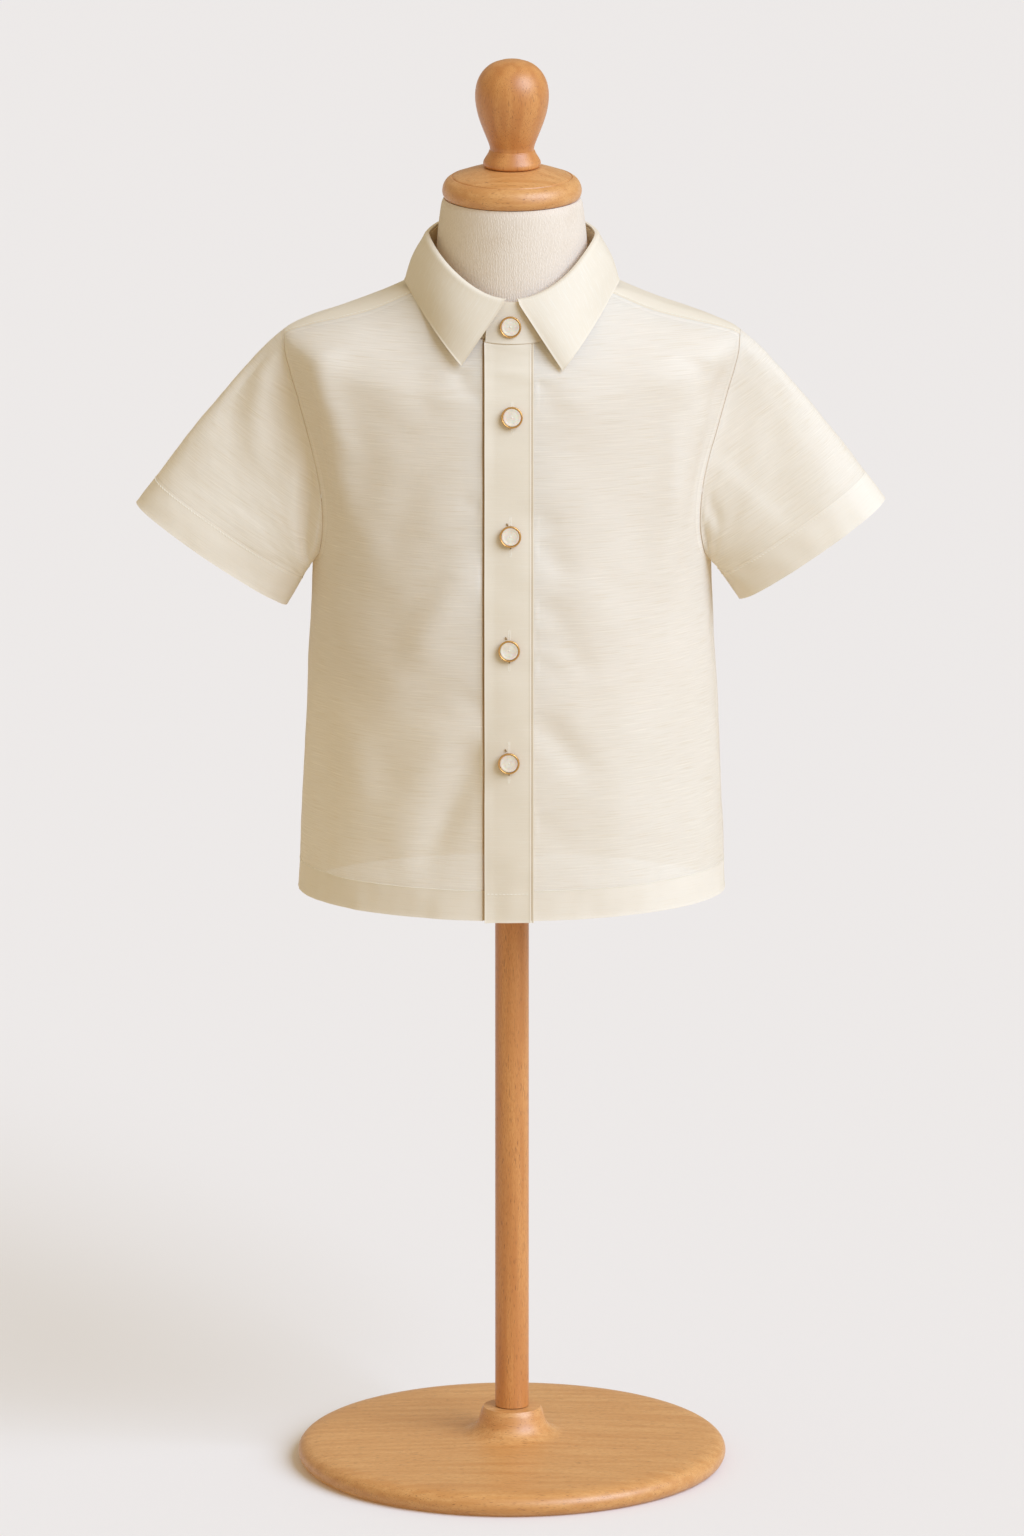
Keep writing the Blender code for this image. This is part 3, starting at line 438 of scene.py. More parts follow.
def body_normal(around, level):
    level = np.clip(level, 0.5, LEVEL_NECK - 0.5)
    turn = body_base(around + 0.5, level) - body_base(around - 0.5, level)
    climb = body_base(around, level + 0.5) - body_base(around, level - 0.5)
    return unit(np.cross(turn, climb))


def body_lift(around, level):
    """How far the worn cloth stands off the plain surface: folds, ripples and the hem's waviness."""
    around = wrapped(around)
    quiet = eased(level, LEVEL_NECK - FOLDS_FADE_TO, LEVEL_NECK - FOLDS_FADE_FROM)
    folds = fold_rise(BODY_FOLDS + SWELLS + FINE_FOLDS, around, level)
    x = around * DEGREE_MM
    wider, longer = HEM_WAVE_STRETCH
    hem_wave = uneven_by(HEM_WAVES, x * wider, level * longer) * eased(level, HEM_WAVES_END, HEM_WAVES_FULL)
    uneven = uneven_by(BODY_RIPPLES, x, level) + hem_wave
    # the same at -180 and 180, where the back's two halves meet
    meet = eased(180 - np.abs(around), 0, BACK_MEETING)
    return (folds + uneven * meet) * quiet


def body_point(around, level, lift=0.0):
    """Points of the shirt's outer face, moved out by lift."""
    around = np.asarray(around, float)
    level = np.asarray(level, float)
    out = (body_lift(around, level) + lift)[..., None]
    return body_base(around, level) + body_normal(around, level) * out


def around_of_x(level, x):
    """The angle at which the front of the ring at this level reaches x."""
    return np.degrees(np.arcsin(x / smooth_rows(BODY_RINGS, level)[..., 4]))


def level_of_height(height):
    """The level at which the centre front is at this height."""
    levels = np.linspace(0, LEVEL_NECK, LEVEL_STEPS)
    return float(np.interp(height, body_base(0.0 * levels, levels)[:, 2], levels))


def crowded(first, last, count, power=1.3):
    """Values from first to last, closer together near the first."""
    return first + (last - first) * np.linspace(0, 1, count + 1) ** power


def dense_ends(count, start=True, end=True):
    """Shares from 0 to 1, with extra ones close to the ends for a seam's rounding."""
    close = np.array((0.0, 0.003, 0.006, 0.010, 0.015, 0.021))
    low = close if start else np.array((0.0,))
    high = 1 - close[::-1] if end else np.array((1.0,))
    middle = np.linspace(low[-1], high[0], count + 1)[1:-1]
    return np.concatenate((low, middle, high))


def armhole(turn):
    """(angle ahead of the side line, level) round the armhole: 0 the armpit, 90 its front, 180 its top."""
    turn = np.asarray(turn, float)
    front = smooth_rows(ARMHOLE, np.clip(turn, 0, 180))[..., 1]
    back = smooth_rows(ARMHOLE, np.clip(360 - turn, 0, 180))[..., 2]
    middle = (LEVEL_ARMPIT + LEVEL_TIP) / 2
    half = (LEVEL_TIP - LEVEL_ARMPIT) / 2
    return np.where(turn < 180, front, -back), middle - half * np.cos(np.radians(turn))


# ---- grids of the cloth pieces

HEM_LEVELS = np.concatenate((
    (0.0, 0.5, 1.0, 1.6, 2.4), np.linspace(4, 19, 8), (19.7, 20.3), np.linspace(22, LEVEL_ARMPIT, 84),
))


def yoke_front(share):
    """(angle ahead of the side line, level) along the yoke's front seam, from the armhole to the neck."""
    ahead, level = armhole(ARMHOLE_FRONT_SEAM)
    along = ahead + (YOKE_FRONT_AT_NECK - ahead) * share + YOKE_FRONT_BOW * np.sin(math.pi * share)
    return along, level + (LEVEL_NECK - level) * share


def front_places(side):
    """(around, level) of one front, rows from the hem to the neck, columns in order of around."""
    ahead, climbing = armhole(crowded(0.0, ARMHOLE_FRONT_SEAM, ARMHOLE_ROWS)[1:])
    seam, seam_levels = yoke_front(dense_ends(YOKE_SEAM_ROWS, start=False)[1:])
    levels = np.concatenate((HEM_LEVELS, climbing, seam_levels))
    outer = 90 - np.concatenate((0 * HEM_LEVELS, ahead, seam))
    # even columns beside the placket, then columns that spread to the outer edge
    close = around_of_x(levels[:, None], np.arange(FRONT_EDGE, BESIDE_PLACKET, BESIDE_PLACKET_STEP))
    shares = dense_ends(FRONT_COLUMNS, start=False)[1:]
    spread = close[:, -1:] + (outer[:, None] - close[:, -1:]) * shares
    around = np.concatenate((close, spread), axis=1)
    if side < 0:
        around = -around[:, ::-1]
    return around, np.broadcast_to(levels[:, None], around.shape)


def back_places():
    ahead, climbing = armhole(crowded(360.0, 360 - ARMHOLE_BACK_SEAM, BACK_ARMHOLE_ROWS)[1:])
    levels = np.concatenate((HEM_LEVELS, climbing))
    start = 90 - np.concatenate((0 * HEM_LEVELS, ahead))[:, None]
    around = start + (360 - 2 * start) * dense_ends(BACK_COLUMNS)
    return around, np.broadcast_to(levels[:, None], around.shape)


def yoke_places():
    """(around, level) of the yoke, rows from its outer edge to the neck, round the back from the left."""
    t = dense_ends(YOKE_ROWS, end=False)[:, None]
    share = dense_ends(SHOULDER_COLUMNS, end=False)
    ahead, low = armhole(ARMHOLE_FRONT_SEAM + (360 - ARMHOLE_BACK_SEAM - ARMHOLE_FRONT_SEAM) * share)
    at_neck = 90 - YOKE_FRONT_AT_NECK + (YOKE_BACK_AT_NECK + YOKE_FRONT_AT_NECK) * share
    bow = YOKE_FRONT_BOW * (1 - share) ** 2
    left = (90 - ahead) + (at_neck - 90 + ahead) * t - bow * np.sin(math.pi * t)
    left_level = low + (LEVEL_NECK - low) * t
    # the back between the armholes, as far round as the last places of the left shoulder
    across = np.linspace(0, 1, YOKE_BACK_COLUMNS)[1:-1]
    back_start, back_neck = 90 - ahead[-1], 90 + YOKE_BACK_AT_NECK
    low_around = back_start + (360 - 2 * back_start) * across
    back_at_neck = back_neck + (360 - 2 * back_neck) * across
    back = low_around + (back_at_neck - low_around) * t
    back_level = np.broadcast_to(low[-1] + (LEVEL_NECK - low[-1]) * t, back.shape)
    around = np.concatenate((left, back, 360 - left[:, ::-1]), axis=1)
    level = np.concatenate((left_level, back_level, left_level[:, ::-1]), axis=1)
    return around, level


def armhole_edge(side, turns):
    """The body's edge round the armhole, each point with its normal and the way past the edge."""
    ahead, level = armhole(turns)
    around = side * (90 - ahead)
    point, normal = body_point(around, level), body_normal(around, level)
    along = np.roll(point, -1, axis=0) - np.roll(point, 1, axis=0)
    out = unit(np.cross(along, normal))
    middle = point.mean(axis=0)
    facing = np.sign(np.sum(out * (middle - point), axis=-1, keepdims=True))
    return point, normal, out * facing


def sleeve_turns():
    """Turns round the sleeve: up its front from the armpit, over the top and down its back."""
    front, top, back = SLEEVE_COLUMNS
    back_seam = 360 - ARMHOLE_BACK_SEAM
    return np.concatenate((
        crowded(0.0, ARMHOLE_FRONT_SEAM, front), np.linspace(ARMHOLE_FRONT_SEAM, back_seam, top)[1:],
        crowded(360.0, back_seam, back)[::-1][1:-1],
    ))


def sleeve_shares():
    """Shares of the sleeve's length, close together at the armhole and in the hem."""
    close = (0.0, 0.004, 0.009, 0.016, 0.025)
    upper = np.linspace(0.04, CUFF_HEM_SHARE - 0.004, SLEEVE_ROWS)
    hem = np.linspace(CUFF_HEM_SHARE, 0.985, CUFF_HEM_ROWS)
    return np.concatenate((close, upper, hem, (0.99, 0.994, 0.997, 1.0)))


def closed_normals(rows):
    """Outward normals of a grid whose columns go round and whose rows go along."""
    turn = np.roll(rows, -1, axis=1) - np.roll(rows, 1, axis=1)
    along = np.gradient(rows, axis=0)
    normal = unit(np.cross(turn, along))
    away = rows - rows.mean(axis=1, keepdims=True)
    return normal * np.sign(np.sum(normal * away, axis=-1, keepdims=True))


# ---- building meshes


def quads(numbers):
    """The corners of each square of a grid of numbers."""
    corners = (numbers[:-1, :-1], numbers[:-1, 1:], numbers[1:, 1:], numbers[1:, :-1])
    return np.stack(corners, -1).reshape(-1, 4)


def closed_round(grid):
    """The grid with its first column once more after its last."""
    return np.concatenate((grid, grid[:, :1]), axis=1)


def rim(near_side, far_side, closed):
    """Faces between the edges of two grids of numbers; grids closed round have no side edges."""
    edges = [(near_side[0, ::-1], far_side[0, ::-1]), (near_side[-1], far_side[-1])]
    if not closed:
        edges += [(near_side[:, 0], far_side[:, 0]), (near_side[::-1, -1], far_side[::-1, -1])]
    return np.concatenate([np.stack((a[:-1], a[1:], b[1:], b[:-1]), -1) for a, b in edges])


def thin_shell(name, outer, inner, grain, material, marks=None):
    """A closed solid between two grids. A grain of one more column than theirs closes them round."""
    rows, columns = outer.shape[:2]
    numbers = np.arange(rows * columns).reshape(rows, columns)
    closed = grain.shape[1] > columns
    if closed:
        numbers = closed_round(numbers)
    far = numbers + rows * columns
    places = np.arange(numbers.size).reshape(numbers.shape)
    faces = np.concatenate((quads(numbers), quads(far)[:, ::-1], rim(numbers, far, closed)))
    corners = np.concatenate((quads(places), quads(places)[:, ::-1], rim(places, places, closed)))
    points = np.concatenate((outer.reshape(-1, 3), inner.reshape(-1, 3)))
    made = new_object(name, points, faces.tolist(), material)
    map_cloth(made, grain, corners)
    for mark, values in (marks or {}).items():
        store_mark(made, mark, np.tile(values.ravel(), 2))
    # marks the inner faces, which the cloth's material paints in a deeper, warmer shade
    store_mark(made, "inside", np.repeat((0.0, 1.0), rows * columns))
    outward(made)
    return made


def map_cloth(made, grain, corners):
    """Keeps the cloth's own millimetres at each corner of the faces as a UV map."""
    layer = made.data.uv_layers.new(name="Cloth")
    layer.uv.foreach_set("vector", grain.reshape(-1, 2)[corners.ravel()].astype(np.float32).ravel())


def added(name, data):
    """A new object in the scene."""
    made = bpy.data.objects.new(name, data)
    bpy.context.scene.collection.objects.link(made)
    return made


def new_object(name, points, faces, material):
    mesh = bpy.data.meshes.new(name)
    mesh.from_pydata((np.asarray(points) * MM).tolist(), [], faces)
    mesh.shade_smooth()
    mesh.materials.append(material)
    made = added(name, mesh)
    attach(made, BODY)
    return made


def store_mark(made, name, values):
    """Keeps a value for each point of the mesh, for its material to read."""
    store = made.data.attributes.new(name, "FLOAT", "POINT")
    store.data.foreach_set("value", values.astype(np.float32))


def outward(made):
    """Turns all faces to the outside, and keeps sharp edges hard."""
    work = bmesh.new()
    work.from_mesh(made.data)
    bmesh.ops.recalc_face_normals(work, faces=work.faces)
    work.to_mesh(made.data)
    work.free()
    made.data.set_sharp_from_angle(angle=math.radians(HARD_EDGE))


def turned(name, profile, sides, material, base=(0, 0, 0), turn=None):
    """A solid of revolution from its profile of (half width, height), standing at base."""
    angles = np.linspace(0, 2 * math.pi, sides, endpoint=False)
    points, rings, faces = [], [], []
    for half_width, height in profile:
        count = sides if half_width else 1
        rings.append([len(points) + i % count for i in range(sides + 1)])
        points += [(half_width * math.cos(a), half_width * math.sin(a), height) for a in angles[:count]]
    for corners in quads(np.array(rings)).tolist():
        faces.append(tuple(dict.fromkeys(corners)))
    points = np.array(points)
    if turn is not None:
        points = points @ np.array(turn.to_matrix()).T
    made = new_object(name, points + np.array(base, float), faces, material)
    outward(made)
    return made


def run_along(points):
    """How far along its path each point lies."""
    return np.concatenate(((0.0,), np.cumsum(np.linalg.norm(np.diff(points, axis=0), axis=1))))


def rounded(profile, steps):
    """The profile with a smooth curve through its points, its two ends on the axis kept flat."""
    inner = np.array(profile[1:-1], float)
    run = run_along(inner)
    at = [np.linspace(low, high, steps, endpoint=False) for low, high in zip(run, run[1:])]
    curve = smooth_rows(np.column_stack((run, inner)), np.concatenate(at + [run[-1:]]))[:, 1:]
    return [profile[0], *curve.tolist(), profile[-1]]


def thread_bits(name, starts, ends, normals, radius, material):
    """Short straight pieces of thread, each a small tapered rod."""
    starts, ends, normals = (np.asarray(values, float) for values in (starts, ends, normals))
    along = unit(ends - starts)
    side = unit(np.cross(along, normals))
    up = np.cross(side, along)
    angles = np.linspace(0, 2 * math.pi, THREAD_SIDES, endpoint=False)
    points = []
    for share, swell in THREAD_SHARES:
        centre = starts + (ends - starts) * share
        for angle in angles:
            points.append(centre + (side * math.cos(angle) + up * math.sin(angle)) * radius * swell)
    points = np.stack(points, axis=1)
    rings = np.arange(points.shape[1]).reshape(-1, THREAD_SIDES)
    one = [*quads(closed_round(rings)).tolist(), rings[0, ::-1].tolist(), rings[-1].tolist()]
    faces = []
    for first in range(0, len(points) * rings.size, rings.size):
        faces += [[first + corner for corner in face] for face in one]
    made = new_object(name, points.reshape(-1, 3), faces, material)
    outward(made)
    return made


def stitch_places(path, normals, length, gap, slant=0.0):
    """Starts, ends and normals of stitches along a path; slant sets each one across it."""
    path, normals = np.asarray(path, float), np.asarray(normals, float)
    run = run_along(path)
    count = int(run[-1] // (length + gap))
    begin = (np.arange(count) + FIRST_STITCH) * (length + gap)

    def at(values, where):
        return np.stack([np.interp(where, run, values[:, axis]) for axis in range(3)], -1)

    middle_normal = unit(at(normals, begin + length / 2))
    starts, ends = at(path, begin), at(path, begin + length)
    across = unit(np.cross(ends - starts, middle_normal)) * slant / 2
    return starts - across, ends + across, middle_normal


# ---- materials


class Look:
    """A material's node tree, built one node at a time."""

    def __init__(self, name):
        self.material = bpy.data.materials.new(name)
        self.material.use_nodes = True
        self.tree = self.material.node_tree
        self.shader = self.tree.nodes["Principled BSDF"]
        self.output = self.tree.nodes["Material Output"]

    def put(self, socket, value):
        if isinstance(value, bpy.types.NodeSocket):
            self.tree.links.new(value, socket)
        elif hasattr(value, "__len__") and len(value) == 3 and socket.type == "RGBA":
            socket.default_value = (*value, 1.0)
        else:
            socket.default_value = value

    def node(self, kind, inputs=(), **settings):
        made = self.tree.nodes.new("ShaderNode" + kind)
        for key, value in settings.items():
            setattr(made, key, value)
        for key, value in dict(inputs).items():
            self.put(made.inputs[key], value)
        return made

    def set(self, **values):
        for key, value in values.items():
            self.put(self.shader.inputs[key.replace("_", " ")], value)

    def maths(self, operation, *values, clamp=False):
        made = self.node("Math", dict(enumerate(values)), operation=operation, use_clamp=clamp)
        return made.outputs[0]

    def times(self, first, second):
        return self.maths("MULTIPLY", first, second)

    def wave(self, value, pitch):
        """A sine of the given pitch along a value in mm."""
        return self.maths("SINE", self.times(value, 2 * math.pi / pitch))

    def cloth_mm(self, turned_by=0.0):
        """Millimetres across and along the flat cloth."""
        cloth = self.node("UVMap", uv_map="Cloth").outputs[0]
        if turned_by:
            cloth = self.node("Mapping", {"Vector": cloth, "Rotation": (0, 0, turned_by)}).outputs[0]
        return cloth

    def mark(self, name):
        """A value that store_mark keeps for each point."""
        return self.node("Attribute", attribute_name=name).outputs["Fac"]

    def noise(self, vector, size, detail=2.0, roughness=0.5):
        """Noise from about 0.2 to 0.8, its grains of the given size in the vector's own units."""
        stretched = self.node("Mapping", {"Vector": vector, "Scale": [1 / part for part in size]})
        inputs = {"Vector": stretched.outputs[0], "Scale": 1.0, "Detail": detail, "Roughness": roughness}
        return self.node("TexNoise", inputs).outputs["Fac"]

    def solid_noise(self, size, detail=2.0, roughness=0.5):
        """The same through a solid, its grains' size in mm."""
        place = self.node("TexCoord").outputs["Object"]
        return self.noise(place, [part * MM for part in size], detail, roughness)

    def range(self, value, low, high, to_low=0.0, to_high=1.0):
        inputs = {"Value": value, "From Min": low, "From Max": high, "To Min": to_low, "To Max": to_high}
        return self.node("MapRange", inputs, interpolation_type="SMOOTHSTEP").outputs[0]

    def mix(self, share, first, second, blend="MIX"):
        inputs = {0: share, 6: first, 7: second}
        return self.node("Mix", inputs, data_type="RGBA", blend_type=blend).outputs[2]

    def blend(self, share, first, second):
        """A share of the second surface in the first."""
        return self.node("MixShader", {0: share, 1: first, 2: second}).outputs[0]

    def bump(self, height, distance):
        """Relief of a height of 0 to 1, as deep as the distance in mm."""
        inputs = {"Height": height, "Distance": distance * MM, "Strength": 1.0}
        return self.node("Bump", inputs).outputs[0]


CREAM = (0.965, 0.93, 0.86)
CREAM_DEEP = (0.86, 0.78, 0.63)
CREAM_PALE = (0.985, 0.95, 0.87)
PLIED = (0.875, 0.777, 0.625)
# Tints of the cloth's inner faces: painted shade, the warm dimness inside the shirt and the collar band
CREAM_INSIDE_PAINTED_SHADE = (0.95, 0.88, 0.73)
STAND_INSIDE_PAINTED_SHADE = (0.84, 0.66, 0.40)
HEM_CREAM = (0.93, 0.86, 0.73)
# Tan of the seams' lines, partly painted shade in their grooves, and painted crease shade in the tuck beside
# the placket's free edge
SEAM_LINE_AND_PAINTED_SHADE_TAN = (0.52, 0.33, 0.12)
LIGHT_THROUGH = (1.0, 0.955, 0.87)
BEECH_TINTS = ((0.74, 0.39, 0.14), (0.60, 0.265, 0.072), (0.32, 0.12, 0.03))
FLOOR_COLOUR = (0.870, 0.826, 0.796)
THREAD_PITCH = 0.42
RIB_PITCH = 1.3


def cloth_look(name, see_through=0.0, plied=False, turned_by=0.0, streaks=1.0, inner=CREAM_INSIDE_PAINTED_SHADE):
    """Plain-woven fibre cloth with slubs; see_through is the share of one face that is open."""
    look = Look(name)
    cloth = look.cloth_mm(turned_by)
    fine_slub = look.noise(cloth, (20, 0.55, 1), 3.0, 0.55)
    long_slub = look.noise(cloth, (30, 0.8, 1), 1.0)
    threads = look.node("SeparateXYZ", {"Vector": cloth}).outputs
    weave = look.times(look.wave(threads[1], THREAD_PITCH), look.wave(threads[0], THREAD_PITCH))
    light = look.range(fine_slub, 0.50, 0.72)
    dark = look.range(fine_slub, 0.48, 0.28)
    thick = look.range(long_slub, 0.60, 0.74)
    colour = PLIED if plied else CREAM
    for slub, strength, tint in (
        (dark, 0.62, CREAM_DEEP), (light, 0.36, CREAM_PALE), (thick, 0.16, CREAM_PALE),
    ):
        colour = look.mix(look.times(slub, strength * streaks), colour, tint)
    colour = look.mix(0.05, colour, CREAM_DEEP)
    # the inner faces are painted in a deeper, warmer shade
    colour = look.mix(look.times(look.mark("inside"), 0.8), colour, inner)
    if see_through:
        # painted shade: tan along the seams' lines and in the placket's tuck
        colour = look.mix(look.range(look.mark("line_mm"), 0.7, 0.3, 0.0, 0.85), colour, SEAM_LINE_AND_PAINTED_SHADE_TAN)
        colour = look.mix(look.range(look.mark("hem_mm"), 0.35, -0.35, 0.0, 0.5), colour, HEM_CREAM)
    look.set(
        Base_Color=colour,
        Roughness=look.range(fine_slub, 0.3, 0.7, 0.50, 0.64),
        Sheen_Weight=0.25,
        Sheen_Roughness=0.4,
        Sheen_Tint=(1.0, 0.96, 0.88, 1.0),
        Specular_IOR_Level=0.35,
        Normal=look.bump(look.maths("ADD", fine_slub, look.times(weave, 0.10)), 0.07 if plied else 0.09),
    )
    through = look.mix(1.0, colour, LIGHT_THROUGH, "MULTIPLY")
    glow = look.node("BsdfTranslucent", {"Color": through}).outputs[0]
    surface = look.blend(0.12 if plied else 0.26, look.shader.outputs[0], glow)
    if see_through:
        open_share = openings(look, see_through, ((light, -0.05), (thick, -0.06), (weave, 0.06)))
        surface = look.blend(open_share, surface, look.node("BsdfTransparent").outputs[0])
    look.put(look.output.inputs["Surface"], surface)
    return look.material


def openings(look, share, changes):
    """The open share between the threads: slubs close it, and so do the hems and seam allowances."""
    for value, change in changes:
        share = look.maths("ADD", share, look.times(value, change))
    hem = look.range(look.mark("hem_mm"), 0.35, -0.35)
    seam = look.range(look.mark("seam_mm"), 6.4, 5.6, 0.0, 0.3)
    single = look.maths("SUBTRACT", 1.0, look.maths("MAXIMUM", hem, seam))
    return look.maths("MULTIPLY", share, single, clamp=True)


def thread_look(name, colour):
    look = Look(name)
    twist = look.solid_noise((0.4, 0.4, 0.4), 1.0)
    tinted = look.mix(look.range(twist, 0.35, 0.65, 0.0, 0.35), colour, [part * 0.72 for part in colour])
    look.set(Base_Color=tinted, Roughness=look.range(twist, 0.3, 0.7, 0.45, 0.65), Sheen_Weight=0.3)
    return look.material


def form_look():
    """Cream crepe cotton, its fine ribs running up and down."""
    look = Look("ribbed_form_cover")
    place = look.cloth_mm()
    waver = look.noise(place, (1.6, 2.6, 1), 1.0)
    fine = look.noise(place, (0.6, 1.5, 1), 2.0, 0.6)
    soiled = look.noise(place, (38, 30, 1), 3.0)
    across = look.node("SeparateXYZ", {"Vector": place}).outputs[0]
    rib = look.wave(look.maths("ADD", across, look.times(waver, 2.2)), RIB_PITCH)
    rib = look.range(rib, -1.0, 1.0)
    colour = look.mix(look.range(rib, 0.0, 1.0, 0.5, 1.0), (0.71, 0.575, 0.425), (0.85, 0.737, 0.62))
    colour = look.mix(look.range(fine, 0.35, 0.65, 0.0, 0.5), colour, (0.85, 0.735, 0.61))
    colour = look.mix(look.range(soiled, 0.5, 0.75, 0.0, 0.22), colour, (0.66, 0.51, 0.36))
    look.set(
        Base_Color=colour,
        Roughness=look.range(fine, 0.3, 0.7, 0.78, 0.92),
        Sheen_Weight=0.3,
        Sheen_Roughness=0.5,
        Specular_IOR_Level=0.25,
        Normal=look.bump(look.maths("ADD", rib, look.times(fine, 1.1)), 0.11),
    )
    return look.material


def wood_look(name, fleck_size, ring_size, depth):
    """Beech under satin varnish: soft rings, and short dark flecks along the grain."""
    look = Look(name)
    flecks = look.solid_noise(fleck_size, 2.0, 0.45)
    fibres = look.solid_noise([size * 0.7 for size in fleck_size], 3.0, 0.6)
    rings = look.solid_noise(ring_size)
    pale, middle, deep = ([part**depth for part in tint] for tint in BEECH_TINTS)
    colour = look.mix(look.range(rings, 0.30, 0.70, 0.0, 0.8), pale, middle)
    colour = look.mix(look.range(fibres, 0.42, 0.66, 0.0, 0.7), colour, middle)
    colour = look.mix(look.range(flecks, 0.60, 0.72, 0.0, 0.75), colour, deep)
    look.set(
        Base_Color=colour,
        Roughness=look.range(fibres, 0.3, 0.7, 0.42, 0.56),
        Specular_IOR_Level=0.5,
        Coat_Weight=0.6,
        Coat_Roughness=0.42,
        Normal=look.bump(look.maths("SUBTRACT", fibres, look.range(flecks, 0.64, 0.76, 0.0, 0.7)), 0.05),
    )
    return look.material


def gilt_look():
    look = Look("gilt_rim")
    wear = look.solid_noise((1.2, 1.2, 1.2), 3.0, 0.6)
    look.set(
        Base_Color=look.mix(look.range(wear, 0.42, 0.68, 0.0, 0.25), (0.66, 0.38, 0.13), (0.50, 0.27, 0.08)),
        Metallic=1.0,
        Roughness=look.range(wear, 0.3, 0.7, 0.30, 0.40),
        Normal=look.bump(wear, 0.01),
    )
    return look.material


def shell_look():
    look = Look("button_shell")
    cloudy = look.solid_noise((4, 3, 5), 3.0, 0.6)
    look.set(
        Base_Color=look.mix(look.range(cloudy, 0.35, 0.68), (0.83, 0.67, 0.55), (0.93, 0.79, 0.66)),
        Roughness=look.range(cloudy, 0.3, 0.7, 0.34, 0.48),
        Coat_Weight=0.15,
        Coat_Roughness=0.2,
        Subsurface_Weight=0.25,
        Subsurface_Scale=0.002,
        Normal=look.bump(cloudy, 0.04),
    )
    return look.material


def floor_look():
    look = Look("pale_floor")
    cloudy = look.range(look.solid_noise((3000, 3000, 3000)), 0.3, 0.7, 0.0, 0.05)
    tinted = look.mix(cloudy, FLOOR_COLOUR, [part * 0.93 for part in FLOOR_COLOUR])
    look.set(Base_Color=tinted, Roughness=0.9, Specular_IOR_Level=0.1)
    return look.material


def make_looks():
    return {
        "body": cloth_look("slubbed_body_cloth", see_through=0.28),
        "yoke": cloth_look("slubbed_yoke_cloth", plied=True, streaks=0.6),
        "placket": cloth_look("placket_cloth", plied=True, streaks=0.45),
        # the band's inner faces get a deeper painted shade
        "stand": cloth_look("stand_cloth", plied=True, streaks=0.45, inner=STAND_INSIDE_PAINTED_SHADE),
        "collar": cloth_look("collar_cloth", plied=True, turned_by=math.pi / 2, streaks=0.9),
        "thread": thread_look("cream_thread", (0.98, 0.93, 0.81)),
        "tan_thread": thread_look("tan_thread", (0.56, 0.38, 0.18)),
        "brown_thread": thread_look("brown_thread", (0.36, 0.22, 0.09)),
        "form": form_look(),
        "wood_up": wood_look("beech_upright", (0.5, 0.5, 5.0), (7.0, 7.0, 90.0), 1.28),
        "wood_flat": wood_look("beech_flat", (5.0, 0.75, 0.75), (80.0, 5.5, 3.2), 1.06),
        "gilt": gilt_look(),
        "shell": shell_look(),
    }


# ---- the shirt


def relief(*lines):
    """The sum of ridges (+) and grooves (-), each from the distance to its line, its rise and width."""
    return sum(rise * near(distance, width) for distance, rise, width in lines)


def body_shell(name, around, level, lift, seam_mm, line_mm, material):
    """A piece of the body, its hem doubled, mapped by its height so that the weft lies level."""
    thick = np.where(level < HEM_DEPTH, HEM_PLIES, PLY)
    outer = body_point(around, level, lift)
    inner = body_point(around, level, lift - thick)
    grain = np.stack((around * DEGREE_MM, body_base(around, level)[..., 2]), -1)
    marks = {"seam_mm": seam_mm, "hem_mm": level - HEM_DEPTH, "line_mm": line_mm}
    return thin_shell(name, outer, inner, grain, material, marks)


def make_front(side, looks):
    around, level = front_places(side)
    outer = around[:, -1:] if side > 0 else around[:, :1]
    from_side = np.abs(around - outer) * DEGREE_MM
    x = body_base(around, level)[..., 0]
    placket_edge = PLACKET_SEWN_EDGE if side > 0 else -PLACKET_FREE_EDGE
    small = fold_rise(FRONT_FOLDS, around, level, start=FRONT_FOLD_START)
    small = small * eased(side * x - placket_edge, *FRONT_FOLDS_FROM_PLACKET)
    small = small * eased(from_side, *FRONT_FOLDS_FROM_SIDE)
    from_tuck = np.abs(x - PLACKET_FREE_EDGE + TUCK_FROM_EDGE)
    tuck = TUCK_DEPTH * near(from_tuck, TUCK_WIDTH) * eased(level, LEVEL_NECK, LEVEL_NECK - TUCK_FADE)
    lift = relief((from_side, -0.10, 0.8), (level, *HEM_ROLL)) + small - tuck
    # line_mm paints tan shade in the tuck beside the placket, and paler along the outer seams
    line = np.minimum(from_side + FRONT_SEAM_PALER, from_tuck)
    name = "front_left_cloth" if side > 0 else "front_right_cloth"
    return body_shell(name, around, level, lift, from_side, line, looks["body"])


def make_back(looks):
    around, level = back_places()
    from_side = np.minimum(around - around[:, :1], around[:, -1:] - around) * DEGREE_MM
    from_yoke = level[-1, 0] - level
    lift = relief((from_side, -0.32, 0.8), (from_yoke, -0.25, 0.8), (level, *HEM_ROLL))
    seam = np.minimum(from_side, from_yoke)
    # the seams' distances also set the painted tan shade along them
    return body_shell("back_cloth", around, level, lift, seam, seam, looks["body"])


def make_yoke(looks):
    around, level = yoke_places()
    climb = level - level[:1]
    lift = relief((climb, 0.10, 1.0), (climb - 1.9, -0.06, 0.5))
    grain = np.stack((level, around * DEGREE_MM), -1)
    outer = body_point(around, level, lift)
    inner = body_point(around, level, lift - YOKE_PLIES)
    return thin_shell("yoke_cloth", outer, inner, grain, looks["yoke"])


